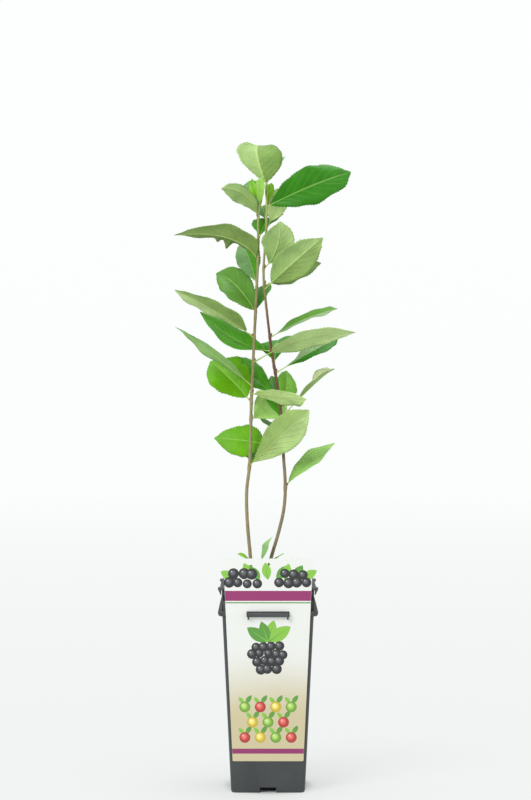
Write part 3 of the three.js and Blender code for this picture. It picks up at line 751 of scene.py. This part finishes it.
stems = {
    "left": Stem(2.2, 1.4, (-15, 4, 207), (-20, 6, 258), (-23.6, 8, 300), (-24, 8, 330), (-20.6, 8, 362),
                 (-18.8, 8, 430), (-16.6, 7, 480), (-13.4, 6, 545), (-11, 5, 600), (-10.8, 4, 640),
                 (-7, 3, 664)),
    "right": Stem(2.2, 1.2, (-8, -5, 207), (3.8, -6, 257), (11.4, -7, 283), (17.6, -8, 310), (19.4, -8, 334),
                  (17.4, -7, 370), (14.2, -6, 418), (11.2, -5, 446), (5, -3, 482),
                  (-1, -2, 530), (-5, -3, 575), (-2, -4, 626), (-1.6, -4, 678)),
    "shoot": Stem(1.6, 0.9, (-8, -20, 207), (-9, -19, 228), (-7, -18, 250)),
}


# Leaves: each mass of foliage is a length of stem, up to a height, with its own leaves. A leaf has
# its node's height, its tip, the way its upper face leans, and the tones of its two skins.
LEAF_OVER = (0, 0, 7)
LEAF_FULL_WIDTH = 30
BLADE_SKEW = 1.22
BLADE_ROUND = 0.85
BLADE_END = 0.7
WAVE = 1.2
WAVE_RATE = 9
YOUNG = {"upper": "young", "under": "young"}


def leaf(at, tip, lean, over=LEAF_OVER, width=40, stalk=9, fold=12, skew=BLADE_SKEW, twist=0,
         upper="mid", under="soft", lobes=()):
    """A leaf's row; a tone is one name, or two for the blade's two halves, a lighter and a darker
    copy of one green that paint light on one half and shade on the other. A lobe of the margin is its
    place along the blade, its side, how far it stands out, its spread and how far it hangs."""
    return {
        "at": at, "tip": Vector(tip), "lean": lean, "over": Vector(over), "width": width, "stalk": stalk,
        "fold": fold, "skew": skew, "twist": twist, "lobes": lobes,
        "small": min(1.0, width / LEAF_FULL_WIDTH),
        "upper": upper if isinstance(upper, tuple) else (upper, upper),
        "under": under if isinstance(under, tuple) else (under, under),
    }


MASSES = [
    {"name": "left_low_leaves", "stem": "left", "to": 428, "leaves": [
        leaf(359, (45, -53, 422), -69, over=(0, -4, 0), width=38, stalk=6, fold=9, under=("sage", "mild")),
        leaf(411, (17, 52, 437), 45, over=(0, 0, -2), width=38, stalk=5, upper="sunny"),
    ]},
    {"name": "left_middle_leaves", "stem": "left", "to": 524, "leaves": [
        leaf(440, (42, -56, 434), -28, over=(-2, -7, 0), width=39, stalk=4, fold=-3, skew=1.3, under="fresh"),
        leaf(430, (-66, 32, 477), 45, over=(-1, -1, 4), width=52, stalk=7, fold=12, skew=0.95,
             upper="bright", lobes=((0.5, -1, -4, 0.03, 0), (0.66, -1, 2, 0.06, 0))),
        leaf(449, (-103, -24, 514), -5, over=(-5.4, -1, 6.2), width=36, fold=4, skew=0.8,
             under="cool", lobes=((0.85, 1, -4, 0.15, 0), (0.85, -1, -4, 0.15, 0), (0.6, 1, -3, 0.2, 2))),
        leaf(475, (97, -31, 508), -26, over=(-2, -15, 8), width=36, stalk=26, fold=-4, skew=0.81,
             under="pale"),
        leaf(503, (-104, -16, 556), -18, over=(2, -4, 2), width=37, stalk=13, fold=2, skew=1.1,
             under=("pale", "sage"), lobes=((0.85, -1, 4, 0.14, 0), (0.85, 1, -2, 0.2, 0),
                                            (0.2, 1, 6, 0.2, -4), (0.38, -1, -3, 0.2, -2))),
    ]},
    {"name": "left_upper_leaves", "stem": "left", "to": 606, "leaves": [
        leaf(532, (-60, 56, 579), 52, over=(0, 4, 9), width=39, stalk=3, fold=28, skew=0.81, upper="shade"),
        leaf(560, (-31, 58, 616), 40, over=(2, 0, 2), width=30, upper=("mid", "soft")),
        leaf(591, (-105, -15, 617), -18, over=(13, 2, 11), width=40, stalk=8, fold=21, skew=0.77,
             under="olive", lobes=((0.4, -1, 3, 0.045, 9), (0.54, -1, 1, 0.03, 4), (0.72, -1, 0, 0.16, 5),
                                   (0.14, 1, 6, 0.12, 0))),
    ]},
    {"name": "left_top_leaves", "stem": "left", "to": 664, "leaves": [
        leaf(638, (-52, -24, 668), -60, over=(6, 0, 9), width=26, stalk=4, lobes=((0.55, 1, -6, 0.3, 0),)),
        leaf(647, (-22, 38, 684), 30, over=(0, 2, 3), width=24, stalk=4, upper="soft"),
        leaf(652, (-7, -20, 681), -50, over=(-2, 0, 0), width=15, stalk=2, **YOUNG),
        leaf(658, (-18, 16, 684), 50, over=(-2, 4, 0), width=11, stalk=2, **YOUNG),
    ]},
    {"name": "right_low_leaves", "stem": "right", "to": 398, "leaves": [
        leaf(335, (76, 21, 384), 15, over=(-6, -2, 0), width=27, stalk=8, upper="glow"),
        leaf(379, (-62, 49, 389), 67, over=(0, 6, 2), width=37, stalk=28, fold=1, skew=0.75, upper="bright"),
    ]},
    {"name": "right_middle_leaves", "stem": "right", "to": 532, "leaves": [
        leaf(408, (4, 62, 461), 25, over=(0, 0, 2), width=26),
        leaf(419, (21, 50, 467), 30, over=(3, 0, 0), width=25, upper="bright"),
        leaf(413, (74, 15, 467), -10, over=(9, 0, 12), width=27, stalk=13, fold=27, skew=1.4, twist=77,
             upper="cream"),
        leaf(434, (-46, 68, 481), 38, over=(0, 6, 1), width=33, stalk=14),
        leaf(463, (80, 26, 504), 28, over=(0, -6, 1), width=28, stalk=13, fold=-7, skew=1.31,
             upper=("deep", "painted_sheen"), lobes=((0.45, -1, -2, 0.3, -2), (0.25, 1, -2, 0.15, 0))),
        leaf(488, (-78, 35, 534), 31, over=(1, 16, -10), width=36, stalk=9, fold=14, skew=1.02),
        leaf(503, (78, -8, 535), 22, over=(2, 2, 5), width=32, stalk=7, skew=1.1, upper=("painted_sheen", "shade")),
    ]},
    {"name": "right_upper_leaves", "stem": "right", "to": 639, "leaves": [
        leaf(562, (61, 39, 590), -42, over=(1, 1, -2), width=30, fold=8, upper="deep", under="dull"),
        leaf(557, (60, -50, 611), -46, over=(-4, 2, -2), width=40, stalk=15, fold=2, skew=1,
             under=("soft", "sage")),
        leaf(580, (14, -20, 632), -39, over=(5, 2, -4), width=38, fold=10, under=("soft", "mild")),
        leaf(624, (16, 18, 674), -120, over=(2, 0, 2), width=26, under="pale"),
    ]},
    {"name": "right_top_leaves", "stem": "right", "to": 678, "leaves": [
        leaf(650, (93, 1, 690), 82, over=(1, -7, 2), width=43, stalk=4, skew=1.05, upper="deep",
             lobes=((0.87, -1, 4, 0.1, 0), (0.74, 1, 1, 0.2, 6), (0.2, 1, 0, 0.15, -3))),
        leaf(650, (4, 14, 679), 20, over=(0, 0, 2), width=10, stalk=3, **YOUNG),
        leaf(674, (-9, 46, 726), 179, over=(-7, -10, 10), width=54, stalk=3, fold=-16, skew=0.75, twist=-20,
             under=("soft", "dull"), lobes=((0.7, -1, -3, 0.3, -2.5), (0.16, 1, 2, 0.12, 0))),
        leaf(672, (20, 40, 712), 40, over=(-5, 5, 4), width=10, stalk=3, upper="light"),
    ]},
    {"name": "basal_shoot", "stem": "shoot", "to": 250, "leaves": [
        leaf(246, (5, -20, 281), 35, over=(-3, 0, 0), width=11, stalk=3, upper="light", under="pale"),
        leaf(238, (-34, -26, 262), 15, over=(0, 0, 4), width=14, stalk=3, **YOUNG),
        leaf(236, (18, -32, 263), 10, over=(0, 0, 4), width=12, stalk=3, **YOUNG),
        leaf(226, (-37, 4, 249), 0, over=(0, 0, 4), width=14, stalk=3, **YOUNG),
    ]},
]
FAR_NODES = {"left": (356, 526, 612), "right": (386, 632, 470, 530)}
FAR_TURN = (72, 108)
FAR_REACH = (66, 82)
FAR_RISE = (12, 34)
FAR_LEAN = (-25, 25)
FAR_WIDTH = (32, 40)
FAR_ROOM = 5.5
FAR_START = 18
STEM_SPACING = 6
SEED = 2026


def seeded_draws(state):
    while True:
        state = (state * 1664525 + 1013904223) % 4294967296
        yield state / 4294967296


draws = seeded_draws(SEED)


def random_between(low, high):
    return low + (high - low) * next(draws)


class LeafFrame:
    """A leaf's midrib from its node to its tip, and the way its blade faces at each point."""
    def __init__(self, stem, row):
        self.row = row
        self.node = stem.at(row["at"])
        self.tip = row["tip"]
        self.bend = (self.node + self.tip) / 2 + row["over"] * 2
        chord = (self.tip - self.node).normalized()
        sky = (Vector((0, 0, 1)) - chord * chord.z).normalized()
        viewer = chord.cross(Vector((0, 0, 1))).normalized()
        if viewer.y > 0:
            viewer.negate()
        lean = math.radians(row["lean"])
        self.face = sky * math.cos(lean) + viewer * math.sin(lean)
        places = [self.midrib(k / 200) for k in range(201)]
        self.reach = sum((q - p).length for p, q in zip(places, places[1:]))
        self.start = row["stalk"] / self.reach

    def midrib(self, s):
        return self.node * (1 - s) ** 2 + self.bend * 2 * s * (1 - s) + self.tip * s * s

    def ahead(self, s):
        return ((self.bend - self.node) * (1 - s) + (self.tip - self.bend) * s).normalized()

    def station(self, u):
        """The place, the way across and the way up at a share of the blade's length."""
        s = self.start + (1 - self.start) * u
        ahead = self.ahead(s)
        across = self.face.cross(ahead).normalized()
        across = Matrix.Rotation(math.radians(self.row["twist"]) * (u - 0.5), 3, ahead) @ across
        return self.midrib(s), across, ahead.cross(across)


def half_width(u, row):
    return max(0.0, math.sin(math.pi * u ** row["skew"])) ** BLADE_ROUND * row["width"] / 2


def leaf_points(leaf_frame, row):
    """Points on a leaf, to keep the far-side leaves clear of what is already there."""
    points = []
    for i in range(9):
        place, across, _ = leaf_frame.station(i / 8)
        half = max(BLADE_END, half_width(i / 8, row))
        points.extend(place + across * side * half for side in (-1, -0.5, 0, 0.5, 1))
    return points


taken = []
for mass in MASSES:
    for row in mass["leaves"]:
        taken.extend(leaf_points(LeafFrame(stems[mass["stem"]], row), row))
for name in FAR_NODES:
    z = stems[name].bottom
    while z < stems[name].top:
        taken.append(stems[name].at(z))
        z += STEM_SPACING
for name, heights in FAR_NODES.items():
    for z in heights:
        turn = math.radians(random_between(*FAR_TURN))
        reach = random_between(*FAR_REACH)
        rise = math.radians(random_between(*FAR_RISE))
        lean = random_between(*FAR_LEAN)
        width = random_between(*FAR_WIDTH)
        node = stems[name].at(z)
        tip = node + Vector((math.cos(rise) * math.cos(turn), math.cos(rise) * math.sin(turn), 0)) * reach
        tip.z = z + reach * math.sin(rise)
        row = leaf(z, tip, lean, width=width)
        points = leaf_points(LeafFrame(stems[name], row), row)
        outer = [p for p in points if (p - node).length > FAR_START]
        if any((q - p).length < FAR_ROOM for p in outer for q in taken):
            continue
        taken.extend(points)
        next(mass for mass in MASSES if mass["stem"] == name and z < mass["to"])["leaves"].append(row)
for mass in MASSES:
    for row in mass["leaves"]:
        row["phase"] = random_between(0, math.tau)

# Leaf skins: waxy dark green above, matt and paler below. The midrib and eight pairs of side veins
# follow the blade's own map, and a net of small veins, drawn coarse enough to show, lies between.
VEIN_PAIRS = 8
VEIN_SWEEP = 0.31
VEIN_BEND = 1.15
NET_MESH = 1.6
# Tones: these greens are the leaves as they look under this light, and several are lit and shaded copies of
# one green. Bright and sunny are lighter copies that paint light shining through the leaf from behind, glow
# paints light on leaves that lie in the shade of others, the grey-green #7b9a69 is a painted sheen, and
# shade, dull and sage are darker copies that paint shade.
UPPER_TONES = {
    "deep": "#2a7404", "mid": "#438a18", "bright": "#5d9d04", "shade": "#53852e", "painted_sheen": "#7b9a69",
    "soft": "#648f52", "light": "#86b56c", "glow": "#8bbb5e", "sunny": "#a9d674", "young": "#78b422",
    "cream": "#c3d0a0",
}
UNDER_TONES = {
    "fresh": "#c3e08f", "pale": "#b4cf88", "cool": "#8bb96c", "mild": "#a3c076", "soft": "#8fae67",
    "sage": "#87a45a", "olive": "#7c9750", "dull": "#6e8f45", "young": "#8fc24f",
}
UPPER_SKIN = {"rib": "#9cc466", "roughness": 0.5, "coat": 0.09, "rib_mix": 0.4, "vein_mix": 0.1,
              "vein_depth": -0.25, "vein_relief": 0.25}
UNDER_SKIN = {"rib": "#c3d79a", "roughness": 0.65, "coat": 0, "rib_mix": 0.6, "vein_mix": 0.22,
              "vein_depth": 0.8, "vein_relief": 0.55}


def leaf_skin(name, base, rib, roughness, coat, rib_mix, vein_mix, vein_depth, vein_relief):
    material, tree, shader = new_material(name, base, roughness)
    place = add_node(tree, "TexCoord").outputs["Object"]
    blade = add_node(tree, "SeparateXYZ", [add_node(tree, "UVMap", uv_map="blade")])
    along = blade.outputs["X"]
    centred = add_node(tree, "Math", [blade.outputs["Y"], 2, -1], operation="MULTIPLY_ADD")
    side = add_node(tree, "Math", [centred], operation="ABSOLUTE")
    bent = add_node(tree, "Math", [side, VEIN_BEND], operation="POWER")
    swept = add_node(tree, "Math", [bent, -VEIN_SWEEP, along], operation="MULTIPLY_ADD")
    counted = add_node(tree, "Math", [swept, VEIN_PAIRS], operation="MULTIPLY")
    away = add_node(tree, "Math", [counted, 0.5], operation="PINGPONG")
    side_vein = add_node(tree, "MapRange", [away, 0, 0.1, 1, 0], interpolation_type="SMOOTHSTEP")
    inward = add_node(tree, "MapRange", [side, 0.6, 1, 1, 0])
    veins = add_node(tree, "Math", [side_vein, inward], operation="MULTIPLY")
    midrib = add_node(tree, "MapRange", [side, 0.02, 0.06, 1, 0])
    relief = add_node(tree, "Math", [veins, midrib], operation="MAXIMUM")
    net = add_node(tree, "TexVoronoi", {"Vector": place, "Scale": 1 / (NET_MESH * MM)},
                   feature="DISTANCE_TO_EDGE")
    mottle = add_node(tree, "TexNoise", {"Vector": place, "Scale": 1 / (16 * MM), "Detail": 5})
    lit = add_node(tree, "MapRange", [mottle, 0.3, 0.7, 0.86, 1.12])
    netted = add_node(tree, "MapRange", [net, 0, 0.12, 0.93])
    # Painted shade and light along the blade: darker at the stalk end, where neighbouring leaves shade it,
    # and lighter toward the tip; the tip is also a little greyer.
    paling = add_node(tree, "MapRange", [along, 0, 1, 0.88, 1.12])
    greying = add_node(tree, "MapRange", [along, 0, 1, 1.04, 0.94])
    mottled = add_node(tree, "Math", [lit, netted], operation="MULTIPLY")
    value = add_node(tree, "Math", [mottled, paling], operation="MULTIPLY")
    varied = add_node(tree, "HueSaturation", {"Value": value, "Saturation": greying, "Color": base})
    faint = add_node(tree, "Math", [veins, vein_mix], operation="MULTIPLY")
    clear = add_node(tree, "Math", [midrib, rib_mix], operation="MULTIPLY")
    drawn = add_node(tree, "Math", [faint, clear], operation="MAXIMUM")
    coloured = add_node(tree, "Mix", {"Factor": drawn, "A": varied, "B": rib}, data_type="RGBA")
    bump = add_node(tree, "Bump", {"Strength": vein_relief, "Distance": vein_depth * MM, "Height": relief})
    feed(shader, {"Base Color": coloured, "Normal": bump, "Specular IOR Level": 0.15,
                  "Coat Weight": coat, "Coat Roughness": 0.22})
    return material


upper_skins = {name: leaf_skin(f"waxy_leaf_{name}", tone, **UPPER_SKIN) for name, tone in UPPER_TONES.items()}
under_skins = {name: leaf_skin(f"matt_leaf_underside_{name}", tone, **UNDER_SKIN)
               for name, tone in UNDER_TONES.items()}
stalk_skin = new_material("green_leaf_stalk", "#9fb95a", 0.5)[0]

# Blades: a folded sheet, puffed up between the side veins and rippled along its finely toothed
# margin, that narrows a little before its short point. Each half may have a tone of its own: a
# lighter and a darker copy of one green, which paint light on one half and shade on the other.
TOOTH_SPACING = 3.2
TOOTH_DEPTH = 1.5
TOOTH_STEPS = 4
SIDE_COLUMNS = 9
COLUMN_CROWDING = 1.3
BLADE_LEAST = 0.3
BLADE_THICK = 0.42
MARGIN_THICK = 0.16
QUILT = 0.2
PUFF = 0.07
CURL = (-0.02, 0.09)
RIPPLE = 0.6
RIPPLES = 3
MARGIN_DRIFT = 0.09
POINT_WAIST = 0.16
POINT_AT = 0.945
POINT_SPAN = 0.03


def blade_arrays(leaf_frame, row):
    """The blade's vertices, faces, map and skins: 0 and 1 above, 2 and 3 below, by halves."""
    length = leaf_frame.reach * (1 - leaf_frame.start)
    teeth = max(8, round(length / TOOTH_SPACING))
    rows = teeth * TOOTH_STEPS
    columns = [math.copysign((abs(j) / SIDE_COLUMNS) ** COLUMN_CROWDING, j)
               for j in range(-SIDE_COLUMNS, SIDE_COLUMNS + 1)]
    fold = math.radians(row["fold"])
    phase = row["phase"]
    chance = random.Random(round(phase * 100000))
    tooth_sizes = {side: [chance.uniform(0.5, 1.3) for _ in range(teeth + 1)] for side in (-1, 1)}
    curl = {side: chance.uniform(*CURL) for side in (-1, 1)}
    verts, maps = [], []
    for face_side in (1, -1):
        for i in range(rows + 1):
            u = i / rows
            place, across, normal = leaf_frame.station(u)
            waist = 1 - POINT_WAIST * math.exp(-((u - POINT_AT) / POINT_SPAN) ** 2)
            half = max(BLADE_LEAST, half_width(u, row) * waist)
            room = min(1.0, half / 6)
            tooth = TOOTH_DEPTH * row["small"] * room * (i % TOOTH_STEPS) / TOOTH_STEPS
            for v in columns:
                side = -1 if v < 0 else 1
                out = abs(v)
                drift = MARGIN_DRIFT * noise.noise(Vector((7 * u, 9 * side, 11 * phase)))
                reach = half * (1 + drift) + tooth * tooth_sizes[side][i // TOOTH_STEPS] * out ** 8
                hanging = 0
                for middle, lobe_side, size, spread, hang in row["lobes"]:
                    if side == lobe_side:
                        swell = math.exp(-((u - middle) / spread) ** 2) * v ** 2
                        reach += size * swell
                        hanging += hang * swell
                wave = WAVE * math.sin(phase + v + WAVE_RATE * u) * half / (row["width"] / 2)
                ripple = RIPPLE * row["small"] * room * math.sin(2 * phase * side + math.tau * RIPPLES * u)
                lift = half * math.sin(fold) * out ** 1.15 + wave * v ** 2 + ripple * out ** 3
                cell = math.cos(math.tau * VEIN_PAIRS * (u - VEIN_SWEEP * out ** VEIN_BEND))
                lift -= QUILT * row["small"] * room * cell * min(1, 4 * out) * (1 - out ** 4)
                lift += PUFF * half * math.sin(math.pi * out) - curl[side] * half * out ** 3 - hanging
                thick = (BLADE_THICK + (MARGIN_THICK - BLADE_THICK) * out ** 3) * min(1, 0.4 + half / 3)
                lift += face_side * thick / 2
                verts.append(place + across * v * reach * math.cos(fold) + normal * lift)
                maps.append((u, 0.5 + 0.5 * v))
    count = len(columns)
    layer = (rows + 1) * count
    faces, skins = [], []
    for i in range(rows):
        for j in range(count - 1):
            a = i * count + j
            b = a + count
            half_side = 0 if j < SIDE_COLUMNS else 1
            faces.append((a, b, b + 1, a + 1))
            faces.append((layer + a, layer + a + 1, layer + b + 1, layer + b))
            skins.extend((half_side, 2 + half_side))
        for j, turned in ((0, False), (count - 1, True)):
            a = i * count + j
            side = (a, layer + a, layer + a + count, a + count)
            faces.append(side[::-1] if turned else side)
            skins.append(3 if turned else 2)
    for i, turned in ((0, True), (rows, False)):
        for j in range(count - 1):
            a = i * count + j
            end = (a, layer + a, layer + a + 1, a + 1)
            faces.append(end[::-1] if turned else end)
            skins.append(2 if j < SIDE_COLUMNS else 3)
    return verts, faces, maps, skins


def ring_about(place, ahead, radius, sides):
    side = (Vector((1, 0, 0)) - ahead * ahead.x).normalized()
    other = ahead.cross(side)
    return [place + side * radius * math.cos(turn) + other * radius * math.sin(turn)
            for turn in (math.tau * k / sides for k in range(sides))]


def close_rings(verts, faces, rings):
    """Adds a closed tube through the rings to the arrays."""
    sides = len(rings[0])
    first = len(verts)
    for ring in rings:
        verts.extend(ring)
    for i in range(len(rings) - 1):
        for k in range(sides):
            a = first + i * sides + k
            b = first + i * sides + (k + 1) % sides
            faces.append((a, b, b + sides, a + sides))
    faces.append(tuple(first + k for k in reversed(range(sides))))
    last = first + (len(rings) - 1) * sides
    faces.append(tuple(last + k for k in range(sides)))


# Each stalk swells where it joins the stem, and runs on under the blade as its midrib.
STALK_FOOT = 1.1
STALK_END = 0.58
RIB_END = 0.16
RIB_TO = 0.96
STALK_RINGS = 10
RIB_RINGS = 26
STALK_SIDES = 8
for mass in MASSES:
    verts, faces, maps, skins, materials = [], [], [], [], []
    stalk_verts, stalk_faces = [], []
    for row in mass["leaves"]:
        leaf_frame = LeafFrame(stems[mass["stem"]], row)
        own = []
        above = [upper_skins[tone] for tone in row["upper"]]
        below = [under_skins[tone] for tone in row["under"]]
        for skin in above + below:
            if skin not in materials:
                materials.append(skin)
            own.append(materials.index(skin))
        new_verts, new_faces, new_maps, new_skins = blade_arrays(leaf_frame, row)
        first = len(verts)
        verts.extend(new_verts)
        maps.extend(new_maps)
        faces.extend(tuple(first + k for k in face) for face in new_faces)
        skins.extend(own[k] for k in new_skins)
        slim = 0.5 + 0.5 * row["small"]
        rings = []
        for i in range(STALK_RINGS):
            t = i / STALK_RINGS
            s = leaf_frame.start * t
            radius = (STALK_FOOT * (1 - t) ** 2 + STALK_END * (1 - (1 - t) ** 2)) * slim
            rings.append(ring_about(leaf_frame.midrib(s), leaf_frame.ahead(s), radius, STALK_SIDES))
        for i in range(RIB_RINGS + 1):
            u = RIB_TO * i / RIB_RINGS
            place, across, normal = leaf_frame.station(u)
            radius = (STALK_END + (RIB_END - STALK_END) * u ** 0.7) * slim
            sunk = place - normal * (0.1 + 0.5 * radius) * min(1, 4 * u)
            s = leaf_frame.start + (1 - leaf_frame.start) * u
            rings.append(ring_about(sunk, leaf_frame.ahead(s), radius, STALK_SIDES))
        close_rings(stalk_verts, stalk_faces, rings)
    title = mass["name"].replace("_leaves", "")
    blades = mesh_piece(f"{title}_blades", verts, faces, materials, skins)
    blade_map = blades.data.uv_layers.new(name="blade")
    corner_verts = [0] * len(blades.data.loops)
    blades.data.loops.foreach_get("vertex_index", corner_verts)
    blade_map.data.foreach_set("uv", [value for k in corner_verts for value in maps[k]])
    ride_root(blades, "leaf", mass["name"])
    stalks = mesh_piece(f"{title}_stalks", stalk_verts, stalk_faces, [stalk_skin])
    ride_root(stalks, "leaf", mass["name"])

# Bark: each stem in one piece from the soil to its tip, swollen at every leaf's node.
STEM_SIDES = 18
STEM_STEP = 1.4
STEM_SLIM = 0.94
RIDGE = 0.1
NODE_SWELL = 0.22
NODE_SPAN = 2.6
TIP_CLOSES = (0.35, 0.7, 0.9)
PORE_PALE = "#cbbd9c"
BARK_TONES = {
    "left": [(0.0, "#85764f"), (0.3, "#887c58"), (0.5, "#857e55"), (0.75, "#80764c"), (1.0, "#8fa356")],
    "right": [(0.0, "#85775a"), (0.3, "#7a6c4e"), (0.42, "#5e402f"), (0.65, "#613d2c"), (0.82, "#8a854c"),
              (1.0, "#8fa050")],
    "shoot": [(0.0, "#8f9f58"), (1.0, "#8dbb4e")],
}


def bark_material(name, low, high, tones):
    material, tree, shader = new_material(name, tones[0][1], 0.6)
    place = add_node(tree, "TexCoord").outputs["Object"]
    height = add_node(tree, "SeparateXYZ", [place]).outputs["Z"]
    level = add_node(tree, "MapRange", [height, low * MM, high * MM])
    ramp = add_node(tree, "ValToRGB", {"Fac": level})
    elements = ramp.color_ramp.elements
    elements[0].color = linear(tones[0][1])
    elements[1].color = linear(tones[-1][1])
    for position, colour in tones[1:-1]:
        elements.new(position).color = linear(colour)
    stretch = add_node(tree, "Mapping", {"Vector": place, "Scale": (1, 1, 0.18)})
    fibre = add_node(tree, "TexNoise", {"Vector": stretch, "Scale": 1 / (1.1 * MM), "Detail": 5})
    lit = add_node(tree, "MapRange", [fibre, 0.3, 0.7, 0.75, 1.25])
    varied = add_node(tree, "HueSaturation", {"Value": lit, "Color": ramp})
    pores = add_node(tree, "TexVoronoi", {"Vector": place, "Scale": 1 / (4.5 * MM)})
    pore = add_node(tree, "MapRange", [pores, 0.07, 0.12, 0.7, 0])
    spotted = add_node(tree, "Mix", {"Factor": pore, "A": varied, "B": PORE_PALE}, data_type="RGBA")
    bump = add_node(tree, "Bump", {"Strength": 0.7, "Distance": 0.25 * MM, "Height": fibre})
    feed(shader, {"Base Color": spotted, "Normal": bump})
    return material


for name, stem in stems.items():
    nodes_up = [row["at"] for mass in MASSES if mass["stem"] == name for row in mass["leaves"]]
    steps = round((stem.top - stem.bottom) / STEM_STEP)
    rings = []
    for i in range(steps + 1):
        z = stem.bottom + SOIL_CLEAR + (stem.top - stem.bottom - SOIL_CLEAR) * i / steps
        swell = sum(math.exp(-((z - node) / NODE_SPAN) ** 2) for node in nodes_up)
        radius = stem.radius(z) * ((STEM_SLIM if i else 1) + NODE_SWELL * min(1, swell))
        if steps - i < len(TIP_CLOSES):
            radius *= TIP_CLOSES[steps - i]
        middle = stem.at(z)
        worn = []
        for point in ring_about(middle, stem.along(z), radius, STEM_SIDES):
            ridge = noise.fractal(Vector((point.x * 1.3, point.y * 1.3, point.z * 0.16)), 0.8, 2.0, 3)
            worn.append(point + (point - middle).normalized() * RIDGE * ridge)
        if i == 0:
            for point in worn:
                point.z = z
        rings.append(worn)
    verts, faces = [], []
    close_rings(verts, faces, rings)
    skin = bark_material(f"young_bark_{name}", stem.bottom, stem.top, BARK_TONES[name])
    piece = mesh_piece(f"{name}_stem_bark", verts, faces, [skin])
    ride_root(piece, "bark", *([f"stem_{name}"] if name != "shoot" else []))

# Buds: slim pointed buds pressed to the stem just above each stalk of a grown leaf.
BUD_LENGTH = 4.6
BUD_RADIUS = 0.95
BUD_POINT = 0.06
BUD_RISE = 1.2
BUD_RINGS = 8
BUD_LEAF_LEAST = 20
bud_skin = new_material("reddish_bud_scales", "#6f5236", 0.5)[0]
verts, faces = [], []
for mass in MASSES:
    stem = stems[mass["stem"]]
    for row in mass["leaves"]:
        if row["width"] < BUD_LEAF_LEAST:
            continue
        base = stem.at(row["at"] + BUD_RISE)
        toward = row["tip"] - base
        toward.z = 0
        toward.normalize()
        ahead = (stem.along(row["at"]) + toward * 0.35).normalized()
        start = base + toward * stem.radius(row["at"]) * 0.8
        rings = []
        for i in range(BUD_RINGS):
            t = i / (BUD_RINGS - 1)
            bulge = max(BUD_POINT, math.sin(math.pi * min(1, 0.18 + 0.82 * t)) ** 0.8)
            rings.append(ring_about(start + ahead * BUD_LENGTH * t, ahead, BUD_RADIUS * bulge, STALK_SIDES))
        close_rings(verts, faces, rings)
buds = mesh_piece("axil_buds", verts, faces, [bud_skin])
ride_root(buds, "bark")
